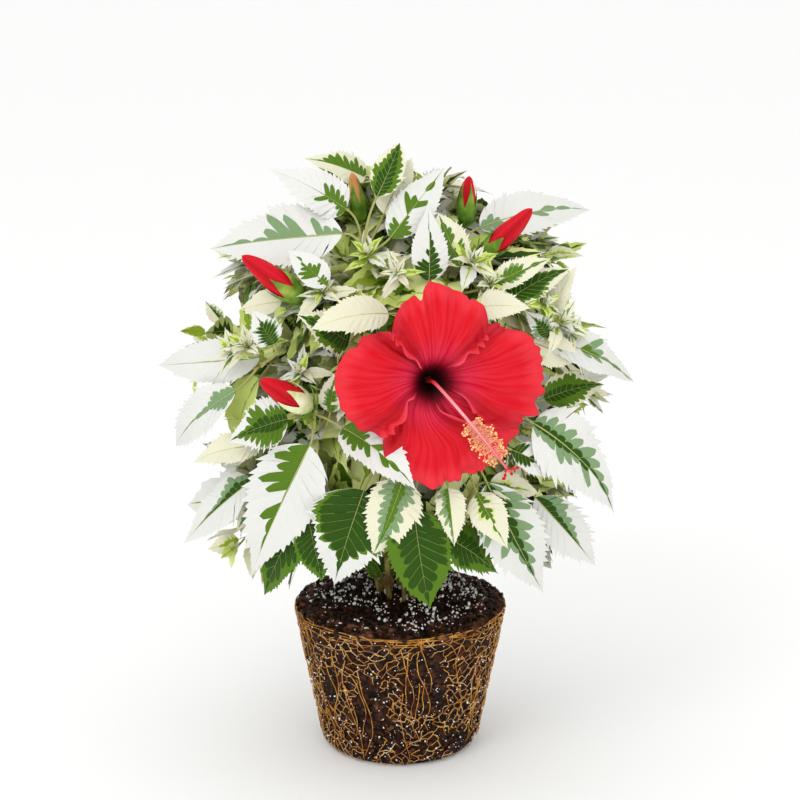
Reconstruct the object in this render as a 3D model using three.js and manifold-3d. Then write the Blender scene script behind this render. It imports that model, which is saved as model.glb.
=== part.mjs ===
// A variegated hibiscus shrub out of its pot, standing on the root ball that kept the pot's shape.
// Several canes rise from the soil and fork into boughs, and each limb ends in a mass of leaves.
// One open bloom faces -Y.
// Millimetres, +Z up. The origin is the centre of the root ball's flat underside.
import * as THREE from "three";
import { mergeVertices } from "three/addons/utils/BufferGeometryUtils.js";
import Module from "manifold-3d";

const wasm = await Module();
wasm.setup();

// Driving dimensions
const gap = 0.4; // clearance between pieces that touch
const ball = { topRadius: 85, footRadius: 62, height: 118, mound: 5, sides: 32 };
const crown = { middle: 300, up: 152, down: 160, left: 193, right: 185, front: 168, back: 180 };
const outline = { upperPower: 2.3, lowerPower: 3.6 };
const lobe = { count: 5, tilt: 52, height: 0.16, width: 36, deepestDent: 0.08 };
const cane = {
  ringRadius: 17,
  footRadius: 3.6,
  tipRadius: 2.2,
  flare: 1.5, // how much wider the foot is where it meets the soil
  coreRadius: 30, // the open middle of the crown
  straightHeight: 205,
};
const bough = { footRadius: 2.6, tipRadius: 1.7, depth: 26, stagger: 11 };
const limbFacets = { sides: 7, steps: 5 };

// Leaf masses stand in rings round the canes. Azimuth 0 is the front, and 90 is the right.
// The first masses of a ring, as many as its canes say, end a cane. A bough reaches each of the others.
const rings = [
  { name: "skirt", count: 6, canes: 0, turn: 24, height: 212, out: 104, reach: 84, across: 76, rise: 66, fork: 152 },
  { name: "girdle", count: 7, canes: 0, turn: 2, height: 302, out: 112, reach: 84, across: 74, rise: 68, fork: 222 },
  { name: "shoulder", count: 5, canes: 5, turn: 38, height: 384, out: 82, reach: 92, across: 82, rise: 72 },
  { name: "crest", count: 2, canes: 1, turn: 80, height: 428, out: 27, reach: 56, across: 62, rise: 56, fork: 352 },
];
const crestFloor = 402; // the crest's masses close the open middle above this height

const bloom = {
  throat: [20, -134, 334],
  axis: [0.27, -0.96, 0.05],
  radius: 79,
  clawRadius: 4.6,
  cup: 26, // how far the petals stand in front of the throat
  flare: 15, // how far from the axis they turn outward
  recurve: 7, // how far their ends bend back
  thickness: 1.4,
  levelStep: 2.6, // petals that overlap lie this far apart
  clawAngle: 24, // half the angle that a petal fills at its foot, and at its widest
  fanAngle: 46,
};
// Each petal's direction round the throat, seen from the front, and its level among its neighbours
const petals = [
  { name: "top", angle: 90, level: 1 },
  { name: "left", angle: 172, level: 0 },
  { name: "lower_left", angle: 262, level: -1 },
  { name: "lower_right", angle: 316, level: -2 },
  { name: "right", angle: 367, level: 0 },
];
const calyx = { radius: 8, length: 24, stalkRadius: 2.2, stalkLength: 38, droop: 12 };
const column = { tip: [76, -205, 286], straight: 26, bow: 9, radius: 1.7, antherRadius: 8.5, stigmaRadius: 4.2 };

const paint = {
  soil: { color: 0x2e1c14, roughness: 0.95, metalness: 0 },
  bark: { color: 0x6b5a35, roughness: 0.8, metalness: 0 },
  leaf: { color: 0xc9d3b4, roughness: 0.5, metalness: 0 },
  petal: { color: 0xd8101c, roughness: 0.55, metalness: 0 },
  green: { color: 0x5f8a2c, roughness: 0.55, metalness: 0 },
};

const vector = (list) => new THREE.Vector3(...list);
const radians = THREE.MathUtils.degToRad;
const { lerp, smoothstep, clamp } = THREE.MathUtils;
const fraction = (x) => x - Math.floor(x);
const scatter = (seed) => fraction(Math.sin(seed * 12.9898 + 4.1) * 43758.5453);
const turnBetween = (a, b) => Math.abs(fraction((a - b) / 360 + 0.5) - 0.5);

// A point at an azimuth round the canes, with 0 at the front and 90 at the right.
function around(azimuth, radius, height) {
  const angle = radians(azimuth);
  return new THREE.Vector3(radius * Math.sin(angle), -radius * Math.cos(angle), height);
}

// A geometry as a closed solid, turned right side out if its faces point inwards.
function solidOf(geometry) {
  const bare = geometry.clone();
  bare.deleteAttribute("normal");
  bare.deleteAttribute("uv");
  const merged = mergeVertices(bare, 1e-3);
  const vertProperties = new Float32Array(merged.attributes.position.array);
  const triVerts = new Uint32Array(merged.index.array);
  const solid = new wasm.Manifold(new wasm.Mesh({ numProp: 3, vertProperties, triVerts }));
  if (solid.volume() > 0) return solid;
  for (let i = 0; i < triVerts.length; i += 3) {
    [triVerts[i + 1], triVerts[i + 2]] = [triVerts[i + 2], triVerts[i + 1]];
  }
  return new wasm.Manifold(new wasm.Mesh({ numProp: 3, vertProperties, triVerts }));
}

function meshOf(name, solid, look) {
  const { vertProperties, triVerts, numProp } = solid.getMesh();
  const positions = new Float32Array((vertProperties.length / numProp) * 3);
  for (let i = 0; i < positions.length / 3; i++) {
    positions.set(vertProperties.subarray(i * numProp, i * numProp + 3), i * 3);
  }
  const geometry = new THREE.BufferGeometry();
  geometry.setAttribute("position", new THREE.BufferAttribute(positions, 3));
  geometry.setIndex(new THREE.BufferAttribute(new Uint32Array(triVerts), 1));
  geometry.computeVertexNormals();
  const mesh = new THREE.Mesh(geometry, new THREE.MeshStandardMaterial(look));
  mesh.name = name;
  return mesh;
}

const cut = (solid, rooms) => rooms.reduce((left, room) => left.subtract(room), solid);
const largestPiece = (solid) =>
  solid.decompose().reduce((best, piece) => (piece.volume() > best.volume() ? piece : best));

function reshape(geometry, place) {
  const position = geometry.attributes.position;
  const point = new THREE.Vector3();
  for (let i = 0; i < position.count; i++) {
    place(point.fromBufferAttribute(position, i));
    position.setXYZ(i, point.x, point.y, point.z);
  }
  return geometry;
}

// A lathe profile bent along a curve. Each profile point is [radius, share of the way], and grow widens it.
function bentLathe(curve, profile, sides, grow = 0) {
  const points = profile.map(([radius, share]) => new THREE.Vector2(radius > 0 ? radius + grow : 0, share));
  const level = Math.abs(curve.getTangentAt(0).z) > 0.9 ? vector([0, 1, 0]) : vector([0, 0, 1]);
  const bent = reshape(new THREE.LatheGeometry(points, sides), (point) => {
    const share = clamp(point.y, 0, 1);
    const way = curve.getTangentAt(share);
    const side = new THREE.Vector3().crossVectors(way, level).normalize();
    const other = new THREE.Vector3().crossVectors(side, way).normalize();
    const beyond = grow * ((share === 1) - (share === 0));
    const { x, z } = point;
    point.copy(curve.getPointAt(share)).addScaledVector(way, beyond);
    point.addScaledVector(side, x).addScaledVector(other, z);
  });
  return solidOf(bent);
}

// One tapering limb along a curve, wider by its flare at the foot.
function limbSolid({ curve, footRadius, tipRadius, flare = 1 }, grow = 0) {
  const flareEnd = 0.05;
  const profile = [[0, 0], [footRadius * flare, 0]];
  if (flare > 1) profile.push([footRadius, flareEnd]);
  for (let i = 1; i <= limbFacets.steps; i++) {
    const share = i / limbFacets.steps;
    profile.push([lerp(footRadius, tipRadius, share), share]);
  }
  profile.push([0, 1]);
  return bentLathe(curve, profile, limbFacets.sides, grow);
}

// How far the crown reaches along a ray from a point inside it, found by halving.
function reachOfCrown(from, way) {
  const inside = (t) => {
    const x = from.x + way.x * t;
    const y = from.y + way.y * t;
    const z = from.z + way.z * t - crown.middle;
    const across = Math.hypot(x / (x < 0 ? crown.left : crown.right), y / (y < 0 ? crown.front : crown.back));
    const power = z > 0 ? outline.upperPower : outline.lowerPower;
    const height = Math.abs(z) / (z > 0 ? crown.up : crown.down);
    return Math.pow(across, power) + Math.pow(height, power) < 1;
  };
  let near = 0;
  let far = 400;
  for (let i = 0; i < 30; i++) {
    const middle = (near + far) / 2;
    if (inside(middle)) near = middle;
    else far = middle;
  }
  return near;
}

// The masses' centres and sizes, ring by ring, with small seeded differences.
const masses = rings.flatMap((ring, ringIndex) =>
  Array.from({ length: ring.count }, (_, index) => {
    const seed = ringIndex * 31 + index;
    const azimuth = ring.turn + (360 / ring.count) * (index + 0.2 * (scatter(seed) - 0.5));
    const height = ring.height + 16 * (scatter(seed + 0.3) - 0.5);
    return { ring, seed, index, azimuth, isCrest: ring.name === "crest", centre: around(azimuth, ring.out, height) };
  }),
);

// One uneven mass with a few lobes that point outwards.
// Planes half-way to its neighbours and a plane beside the canes bound it.
function massSolid(mass) {
  const { ring, centre, azimuth, seed, isCrest } = mass;
  const outward = around(azimuth, 1, 0);
  const sideways = around(azimuth + 90, 1, 0);
  const planes = masses
    .filter((other) => other !== mass)
    .map((other) => {
      const apart = new THREE.Vector3().subVectors(other.centre, centre);
      const distance = apart.length();
      return { normal: apart.divideScalar(distance), offset: (distance - gap) / 2 };
    });
  if (isCrest) planes.push({ normal: vector([0, 0, -1]), offset: centre.z - crestFloor });
  else planes.push({ normal: outward.clone().negate(), offset: ring.out - cane.coreRadius });
  const lobes = Array.from({ length: lobe.count }, (_, i) => {
    const turn = radians((360 / lobe.count) * (i + scatter(seed + i * 3.7)));
    const tilt = radians(lobe.tilt * (0.5 + scatter(seed + i * 5.3)));
    const rim = sideways.clone().multiplyScalar(Math.cos(turn));
    rim.z += Math.sin(turn);
    return outward.clone().multiplyScalar(Math.cos(tilt)).addScaledVector(rim, Math.sin(tilt));
  });
  const narrow = Math.cos(radians(lobe.width));
  const way = new THREE.Vector3();
  const blob = reshape(new THREE.IcosahedronGeometry(1, 2), (point) => {
    way.copy(point).normalize();
    const own = Math.hypot(way.dot(outward) / ring.reach, way.dot(sideways) / ring.across, way.z / ring.rise);
    const raised = lobes.reduce((most, middle) => Math.max(most, (way.dot(middle) - narrow) / (1 - narrow)), 0);
    const dent = lobe.deepestDent * scatter(seed + 7 * Math.round(90 * way.x) + 13 * Math.round(90 * way.z));
    const limit = isCrest ? Infinity : reachOfCrown(centre, way);
    let radius = Math.min(1 / own, limit) * (1 - lobe.height * (1 - raised)) * (1 - dent);
    for (const { normal, offset } of planes) {
      const towards = way.dot(normal);
      if (towards > 1e-6) radius = Math.min(radius, offset / towards);
    }
    point.copy(centre).addScaledVector(way, radius);
  });
  return solidOf(blob);
}

// Root ball: the pot's taper, a rounded shoulder and mounded soil, on a flat underside.
function ballSolid() {
  const { topRadius, footRadius, height, mound, sides } = ball;
  const profile = [
    [0, 0],
    [footRadius - 3, 0],
    [footRadius, 3],
    [topRadius, height - 7],
    [topRadius - 3, height - 1.5],
    [topRadius - 18, height + 1],
    [topRadius * 0.45, height + mound],
    [0, height + mound],
  ];
  const lathe = new THREE.LatheGeometry(profile.map(([r, z]) => new THREE.Vector2(r, z)), sides);
  return solidOf(lathe.rotateX(Math.PI / 2));
}

// Where a limb ends, some way inside its mass.
function limbEnd({ ring, azimuth, centre, isCrest }) {
  if (isCrest) return around(azimuth, ring.out * 0.8, crestFloor + bough.depth);
  return around(azimuth, cane.coreRadius + bough.depth, centre.z - 6);
}

// Canes stand on the soil with a flat foot and run up the open core to the upper masses.
const soilTop = ball.height + ball.mound;
const canes = masses
  .filter(({ ring, index }) => index < ring.canes)
  .map(({ azimuth, isCrest, ...mass }, i) => {
    const inwards = isCrest ? 0.25 : 1;
    const end = limbEnd({ azimuth, isCrest, ...mass });
    const foot = around(azimuth, cane.ringRadius * inwards, soilTop - 1);
    const bend = around(azimuth, (cane.ringRadius + 1) * inwards, cane.straightHeight);
    const inner = around(azimuth, (cane.coreRadius - 6) * inwards, end.z - 48);
    const curve = new THREE.CatmullRomCurve3([foot, bend, inner, end]);
    return { ...cane, name: `cane_${i + 1}`, azimuth, isCrest, curve };
  });
const soilRoom = solidOf(new THREE.BoxGeometry(ball.topRadius, ball.topRadius, 20).translate(0, 0, soilTop + gap - 10));
const caneSolid = (limb) => limbSolid(limb).subtract(soilRoom);

// A bough leaves the nearest cane, and runs out and up into its mass.
const boughs = masses
  .filter(({ ring, index }) => index >= ring.canes)
  .map((mass) => {
    const parent = canes
      .filter(({ isCrest }) => isCrest === mass.isCrest)
      .reduce((best, next) =>
        turnBetween(next.azimuth, mass.azimuth) < turnBetween(best.azimuth, mass.azimuth) ? next : best,
      );
    const height = mass.ring.fork + bough.stagger * ((mass.index % 2) - 0.5);
    const fork = parent.curve
      .getPoints(60)
      .reduce((best, point) => (Math.abs(point.z - height) < Math.abs(best.z - height) ? point : best));
    const end = limbEnd(mass);
    const middle = fork.clone().lerp(end, 0.5);
    middle.z -= 6;
    const curve = new THREE.CatmullRomCurve3([fork, middle, end]);
    return { ...bough, name: `bough_${mass.ring.name}_${mass.index + 1}`, curve };
  });

// The bloom's own axes: X to its right and Y up as seen from the front, Z out of the throat
const throat = vector(bloom.throat);
const bloomOut = vector(bloom.axis).normalize();
const bloomRight = new THREE.Vector3().crossVectors(vector([0, 0, 1]), bloomOut).normalize();
const bloomUp = new THREE.Vector3().crossVectors(bloomOut, bloomRight);
const bloomFrame = new THREE.Matrix4().makeBasis(bloomRight, bloomUp, bloomOut).setPosition(throat);
const alongBloom = (distance) => throat.clone().addScaledVector(bloomOut, distance);

function petalStand(radius) {
  const opened = 1 - Math.exp(-(radius - bloom.clawRadius) / bloom.flare);
  return bloom.cup * opened - bloom.recurve * Math.pow(radius / bloom.radius, 3);
}

// A petal is a curved blade: a narrow claw at the throat that opens to a broad fan with a round end.
function petalSolid(petal, index) {
  const cells = 7;
  const clawTurn = 90 + 72 * index;
  const blade = reshape(new THREE.BoxGeometry(1, 1, 1, cells, cells, 1), (point) => {
    const along = point.y + 0.5;
    const across = point.x * 2;
    const rounding = Math.sqrt(1 - Math.pow(Math.abs(across), 2.4) * 0.34);
    const radius = lerp(bloom.clawRadius, bloom.radius, along * (1 - along * (1 - rounding)));
    const spread = smoothstep(along, 0.05, 0.62);
    const turn = lerp(clawTurn, petal.angle, spread) - across * lerp(bloom.clawAngle, bloom.fanAngle, spread);
    const level = petal.level * bloom.levelStep * smoothstep(along, 0, 0.35);
    const height = petalStand(radius) + level + point.z * bloom.thickness;
    point.set(radius * Math.cos(radians(turn)), radius * Math.sin(radians(turn)), height);
  });
  return solidOf(blade.applyMatrix4(bloomFrame));
}

// The room that the open petals and all in front of them take, which the leaf masses keep clear of.
function bloomRoom() {
  const behind = 3 * bloom.levelStep;
  const inFront = 90;
  const step = 19;
  const rim = bloom.radius + 3;
  const profile = [new THREE.Vector2(0, -10), new THREE.Vector2(11, -10)];
  for (let radius = step; radius < rim; radius += step) {
    profile.push(new THREE.Vector2(radius, petalStand(radius) - behind));
  }
  profile.push(new THREE.Vector2(rim, petalStand(rim) - behind));
  profile.push(new THREE.Vector2(rim, inFront), new THREE.Vector2(0, inFront));
  const room = new THREE.LatheGeometry(profile, 18).rotateX(Math.PI / 2);
  return solidOf(room.applyMatrix4(bloomFrame));
}

// The bloom's stalk and its cup of sepals, which ends just behind the petals' claws.
const calyxFront = -(bloom.thickness + gap) / 2;
function calyxSolid(grow = 0) {
  const total = calyx.length + calyx.stalkLength;
  const back = alongBloom(-total);
  back.z -= calyx.droop;
  const cup = calyx.stalkLength / total;
  const profile = [
    [0, 0],
    [calyx.stalkRadius, 0],
    [calyx.stalkRadius, cup * 0.5],
    [calyx.stalkRadius * 1.2, cup],
    [calyx.radius, lerp(cup, 1, 0.35)],
    [calyx.radius * 0.95, lerp(cup, 1, 0.75)],
    [calyx.radius * 0.86, 1],
    [0, 1],
  ];
  const curve = new THREE.CatmullRomCurve3([back, alongBloom(-total / 2), alongBloom(calyxFront)]);
  return bentLathe(curve, profile, 10, grow);
}

// Style and stamens as one solid: a thin curved rod, a thick zone of anthers and a knob of stigma pads.
function columnSolid(grow = 0) {
  const straight = alongBloom(column.straight);
  const tip = vector(column.tip);
  const middle = straight.clone().lerp(tip, 0.45).addScaledVector(bloomOut, column.bow);
  const profile = [
    [0, 0],
    [column.radius * 1.5, 0],
    [column.radius, 0.3],
    [column.radius * 1.2, 0.44],
    [column.antherRadius, 0.53],
    [column.antherRadius, 0.76],
    [column.radius * 1.5, 0.87],
    [column.stigmaRadius, 0.96],
    [column.stigmaRadius * 0.7, 1],
    [0, 1],
  ];
  const curve = new THREE.CatmullRomCurve3([alongBloom(calyxFront + gap), straight, middle, tip]);
  return bentLathe(curve, profile, 8, grow);
}

const plant = new THREE.Group();
const add = (name, solid, look) => plant.add(meshOf(name, solid, look));

const caneRooms = canes.map((limb) => limbSolid(limb, gap));
const boughRooms = boughs.map((limb) => limbSolid(limb, gap));
const rooms = [...caneRooms, ...boughRooms, bloomRoom(), calyxSolid(gap), columnSolid(gap)];

add("root_ball", ballSolid(), paint.soil);
canes.forEach((limb) => add(limb.name, caneSolid(limb), paint.bark));
boughs.forEach((limb, i) => {
  const left = cut(limbSolid(limb), [...caneRooms, ...boughRooms.slice(0, i)]);
  add(limb.name, largestPiece(left), paint.bark);
});
masses.forEach((mass) => {
  const name = `foliage_${mass.ring.name}_${mass.index + 1}`;
  add(name, largestPiece(cut(massSolid(mass), rooms)), paint.leaf);
});
petals.forEach((petal, i) => add(`petal_${petal.name}`, petalSolid(petal, i), paint.petal));
add("bloom_calyx", calyxSolid(), paint.green);
add("stamen_column", columnSolid(), paint.petal);

export default plant;
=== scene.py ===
import math

import bpy
import numpy as np
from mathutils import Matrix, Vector
from mathutils.bvhtree import BVHTree


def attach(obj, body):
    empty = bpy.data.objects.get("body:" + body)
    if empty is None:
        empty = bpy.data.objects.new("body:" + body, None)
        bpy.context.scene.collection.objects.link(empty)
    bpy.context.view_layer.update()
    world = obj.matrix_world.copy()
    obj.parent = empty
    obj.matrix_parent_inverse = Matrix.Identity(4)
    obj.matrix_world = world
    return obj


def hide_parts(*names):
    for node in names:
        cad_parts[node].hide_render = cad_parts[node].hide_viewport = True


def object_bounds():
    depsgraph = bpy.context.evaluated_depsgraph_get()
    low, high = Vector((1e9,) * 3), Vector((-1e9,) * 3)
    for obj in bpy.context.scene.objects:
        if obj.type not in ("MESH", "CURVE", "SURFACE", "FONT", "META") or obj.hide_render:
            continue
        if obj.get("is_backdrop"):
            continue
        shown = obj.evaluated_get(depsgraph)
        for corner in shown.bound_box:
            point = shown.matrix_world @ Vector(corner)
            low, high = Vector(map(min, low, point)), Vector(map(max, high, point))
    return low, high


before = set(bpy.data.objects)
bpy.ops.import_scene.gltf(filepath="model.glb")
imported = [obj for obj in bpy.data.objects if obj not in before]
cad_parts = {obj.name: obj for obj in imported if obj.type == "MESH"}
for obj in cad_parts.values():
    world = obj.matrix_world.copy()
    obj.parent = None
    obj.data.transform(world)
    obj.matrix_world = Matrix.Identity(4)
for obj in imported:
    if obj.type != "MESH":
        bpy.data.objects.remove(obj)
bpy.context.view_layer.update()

mm = 0.001
fullTurn = 2 * math.pi
goldenTurn = math.pi * (3 - math.sqrt(5))
upright = np.array([0, 0, 1.0])
scene = bpy.context.scene


# small tools shared by every piece

def unit(rows):
    return rows / np.maximum(np.linalg.norm(rows, axis=-1, keepdims=True), 1e-9)


def blend(first, second, share):
    return first + (second - first) * share


def ease(value, low=0.0, high=1.0):
    # 0 up to low, 1 from high on, and a smooth step between them
    share = np.clip((value - low) / (high - low), 0, 1)
    return share * share * (3 - 2 * share)


def bell(value, middle, wide):
    return np.exp(-((value - middle) / wide) ** 2)


def across(rows, way):
    # what is left of each row when its part along way is taken off, as unit rows
    return unit(rows - (rows * way).sum(-1, keepdims=True) * way)


def swing(first, second, turn):
    # from the first direction towards the second by this angle
    return first * np.cos(turn) + second * np.sin(turn)


def polar(radius, turn, height):
    # points at this distance and angle round the upright axis
    return np.stack(np.broadcast_arrays(radius * np.cos(turn), radius * np.sin(turn), height), -1)


def softNoise(points, cell, seed, size=32):
    # random numbers -1 to 1 at the corners of cells, eased from corner to corner
    table = np.random.default_rng(seed).uniform(-1, 1, (size, size, size))
    place = points / cell
    corner = np.floor(place).astype(int)
    part = ease(place - corner)
    total = np.zeros(points.shape[:-1])
    for step in np.ndindex(2, 2, 2):
        weight = np.where(np.array(step) == 1, part, 1 - part).prod(-1)
        at = (corner + np.array(step)) % size
        total += weight * table[at[..., 0], at[..., 1], at[..., 2]]
    return total


def gridTriangles(rows, columns, closed=False):
    # two triangles in each cell of a grid of points; closed joins the last column to the first
    row = np.arange(rows - 1)[:, None]
    column = np.arange(columns if closed else columns - 1)[None, :]
    beside = (column + 1) % columns
    corners = [row * columns + column, row * columns + beside,
               (row + 1) * columns + beside, (row + 1) * columns + column]
    a, b, c, d = [np.broadcast_to(part, (rows - 1, column.shape[1])).ravel() for part in corners]
    return np.concatenate([np.stack([a, b, c], 1), np.stack([a, c, d], 1)])


def ballTriangles(rings, sides):
    # rings of points closed by a fan at each of two poles, which come last
    here = np.arange(sides)
    beside = (here + 1) % sides
    low = np.stack([np.full(sides, rings * sides), beside, here], 1)
    top = (rings - 1) * sides
    high = np.stack([np.full(sides, rings * sides + 1), top + here, top + beside], 1)
    return np.concatenate([gridTriangles(rings, sides, True), low, high])


def pile(heap, points, triangles, normals=None):
    # adds loose geometry to a heap that becomes one joined piece
    heap.append((points.reshape(-1, 3), triangles, None if normals is None else normals.reshape(-1, 3)))


def pileMany(heap, grids, triangles):
    # the same triangles on each of many equal sets of points
    count, size = grids.shape[:2]
    starts = np.arange(count)[:, None, None] * size
    pile(heap, grids, (triangles[None] + starts).reshape(-1, 3))


def newObject(name, data):
    made = bpy.data.objects.new(name, data)
    scene.collection.objects.link(made)
    return made


def pieceFrom(name, heap, material, nodes=(), uv=None):
    # joins a heap into one piece, without the points that no triangle uses
    points, triangles, normals = zip(*heap)
    starts = np.cumsum([0] + [len(part) for part in points])
    triangles = np.concatenate([part + start for part, start in zip(triangles, starts)])
    used, index = np.unique(triangles, return_inverse=True)
    index = index.reshape(-1, 3)
    mesh = bpy.data.meshes.new(name)
    mesh.vertices.add(len(used))
    mesh.vertices.foreach_set("co", np.concatenate(points)[used].astype(np.float32).ravel())
    mesh.loops.add(index.size)
    mesh.loops.foreach_set("vertex_index", index.ravel().astype(np.int32))
    mesh.polygons.add(len(index))
    mesh.polygons.foreach_set("loop_start", np.arange(0, index.size, 3, dtype=np.int32))
    mesh.update(calc_edges=True)
    mesh.polygons.foreach_set("use_smooth", np.ones(len(index), dtype=bool))
    if uv is not None:
        layer = mesh.uv_layers.new(name="surface")
        layer.data.foreach_set("uv", uv[used][index.ravel()].astype(np.float32).ravel())
    if normals[0] is not None:
        mesh.normals_split_custom_set_from_vertices(np.concatenate(normals)[used].tolist())
    mesh.materials.append(material)
    piece = newObject(name, mesh)
    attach(piece, "root")
    if nodes:
        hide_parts(*nodes)
    print(f"{name}: {len(index)} triangles")
    return piece


def tubes(paths, radii, sides):
    # rods: a ring of points square to the path at each of its points, each end closed by a fan
    paths = np.asarray(paths, float)
    count, steps = paths.shape[:2]
    radii = np.broadcast_to(radii, (count, steps))
    along = unit(np.gradient(paths, axis=1))
    leastAxis = np.eye(3)[np.argmin(np.abs(unit(paths[:, -1] - paths[:, 0])), axis=1)]
    first = unit(np.cross(along, leastAxis[:, None]))
    second = np.cross(along, first)
    turn = np.arange(sides) * fullTurn / sides
    ring = swing(first[:, :, None], second[:, :, None], turn[:, None])
    walls = (paths[:, :, None] + ring * radii[:, :, None, None]).reshape(count, -1, 3)
    return np.concatenate([walls, paths[:, :1], paths[:, -1:]], axis=1), ballTriangles(steps, sides)


def layTubes(heap, paths, radii, sides):
    pileMany(heap, *tubes(paths, radii, sides))


def layLumps(heap, centres, sizes, rough, seed, rings, sides):
    # uneven crumbs: a ball for each centre, stretched by its three sizes, pushed in and out by chance
    chance = np.random.default_rng(seed)
    count = len(centres)
    fall = ((np.arange(rings) + 0.75) / (rings + 0.5) * math.pi)[:, None]
    ring = polar(np.sin(fall), np.arange(sides) * fullTurn / sides, -np.cos(fall)).reshape(-1, 3)
    ball = np.concatenate([ring, [[0, 0, -1], [0, 0, 1]]])
    push = 1 + rough * chance.uniform(-1, 1, (count, len(ball), 1))
    spin = unit(chance.normal(size=(count, 3)))
    other = across(chance.normal(size=(count, 3)), spin)
    axes = np.stack([other, np.cross(spin, other), spin], 1)
    points = centres[:, None] + (ball[None] * push * sizes[:, None]) @ axes
    pileMany(heap, points, ballTriangles(rings, sides))


# camera: 1.7 m away, 15 degrees down, as the photograph is taken; the picture is 36 mm wide on it

camera = {"distance": 1.7, "fall": 15.0, "aim": (0.0, 0.0, 0.283), "metresAcross": 0.6256, "sensor": 36}
pictureSize = 800

fall = math.radians(camera["fall"])
cameraBack = np.array([0, -math.cos(fall), math.sin(fall)])
cameraEye = np.array(camera["aim"]) + camera["distance"] * cameraBack
cameraRight = np.array([1.0, 0, 0])
cameraUp = np.cross(cameraBack, cameraRight)
pixelsAway = pictureSize * camera["distance"] / camera["metresAcross"]


def aim(thing, place, way):
    thing.location = place
    thing.rotation_mode = "QUATERNION"
    thing.rotation_quaternion = Vector(way).to_track_quat("-Z", "Y")


cameraData = bpy.data.cameras.new("photoCamera")
cameraData.sensor_width = camera["sensor"]
cameraData.lens = camera["sensor"] * camera["distance"] / camera["metresAcross"]
cameraData.clip_start = 0.05
cameraData.clip_end = 100
cameraObject = newObject("photoCamera", cameraData)
aim(cameraObject, cameraEye, -cameraBack)
scene.camera = cameraObject


def fromPixel(pixel, depth):
    # the point seen at this pixel that stands at y = depth
    ray = cameraRight * (pixel[0] - pictureSize / 2) + cameraUp * (pictureSize / 2 - pixel[1])
    ray = ray - cameraBack * pixelsAway
    return cameraEye + ray * (depth - cameraEye[1]) / ray[1]


def toPixel(points):
    # pixel column, pixel row and distance from the camera for each point
    ray = points - cameraEye
    away = -(ray @ cameraBack)
    column = pictureSize / 2 + (ray @ cameraRight) / away * pixelsAway
    return column, pictureSize / 2 - (ray @ cameraUp) / away * pixelsAway, away


# studio: a wide pale floor, white air all round and two large soft lamps

studio = {"floorRadius": 40.0, "floorColour": (0.97, 0.97, 0.965), "air": 1.0,
          "lamps": {"keyLamp": ((-1.0, -1.7, 1.9), 1.1, 12.0), "fillLamp": ((0.7, -2.1, 0.7), 1.4, 8.0)}}

world = bpy.data.worlds.new("studioAir")
scene.world = world
world.use_nodes = True
world.node_tree.nodes["Background"].inputs["Color"].default_value = (1, 1, 1, 1)
world.node_tree.nodes["Background"].inputs["Strength"].default_value = studio["air"]

for name, (place, size, watts) in studio["lamps"].items():
    lampData = bpy.data.lights.new(name, "AREA")
    lampData.shape = "DISK"
    lampData.size = size
    lampData.energy = watts
    aim(newObject(name, lampData), place, Vector(camera["aim"]) - Vector(place))


# materials: each finish has its own colours, grain and gloss

def feed(tree, made, inputs):
    # sets each named or numbered input to a plain value, or links it to the socket that is given
    for name, value in inputs.items():
        if isinstance(value, bpy.types.NodeSocket):
            tree.links.new(value, made.inputs[name])
        else:
            made.inputs[name].default_value = value


def node(tree, kind, inputs=None, **values):
    made = tree.nodes.new(kind)
    for name, value in values.items():
        setattr(made, name, value)
    feed(tree, made, inputs or {})
    return made


def newMaterial(name, roughness=0.5, shine=0.12):
    material = bpy.data.materials.new(name)
    material.use_nodes = True
    tree = material.node_tree
    shader = tree.nodes["Principled BSDF"]
    feed(tree, shader, {"Roughness": roughness, "Specular IOR Level": shine})
    return material, tree, shader


def ramp(tree, source, stops):
    made = node(tree, "ShaderNodeValToRGB", {"Fac": source})
    for number, (place, colour) in enumerate(stops):
        stop = made.color_ramp.elements[number] if number < 2 else made.color_ramp.elements.new(place)
        stop.position = place
        stop.color = (*colour, 1)
    return made.outputs["Color"]


def calculate(tree, operation, *values):
    return node(tree, "ShaderNodeMath", dict(enumerate(values)), operation=operation).outputs[0]


def mixture(tree, kind, share, first, second):
    # colours mixed in the given way; the node's colour inputs are numbers 6 and 7
    made = node(tree, "ShaderNodeMix", data_type="RGBA", blend_type=kind)
    feed(tree, made, {0: share, 6: first, 7: second})
    return made.outputs[2]


def surfaceMap(tree):
    # the two parts of the piece's own UV map, and the map itself
    uv = node(tree, "ShaderNodeUVMap", uv_map="surface").outputs["UV"]
    parts = node(tree, "ShaderNodeSeparateXYZ", {"Vector": uv}).outputs
    return parts["X"], parts["Y"], uv


def grainGroup():
    # grain shared by the finishes: noise at one scale in Object coordinates gives a value and a normal
    group = bpy.data.node_groups.new("fineGrain", "ShaderNodeTree")
    for name in ("Scale", "Detail", "Depth"):
        group.interface.new_socket(name, in_out="INPUT", socket_type="NodeSocketFloat")
    group.interface.new_socket("Value", in_out="OUTPUT", socket_type="NodeSocketFloat")
    group.interface.new_socket("Normal", in_out="OUTPUT", socket_type="NodeSocketVector")
    start = node(group, "NodeGroupInput").outputs
    place = node(group, "ShaderNodeTexCoord").outputs["Object"]
    scaled = {"Vector": place, "Scale": start["Scale"], "Detail": start["Detail"]}
    noise = node(group, "ShaderNodeTexNoise", scaled)
    bump = node(group, "ShaderNodeBump", {"Height": noise.outputs["Fac"], "Distance": start["Depth"]})
    node(group, "NodeGroupOutput", {"Value": noise.outputs["Fac"], "Normal": bump.outputs["Normal"]})
    return group


fineGrain = grainGroup()


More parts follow.
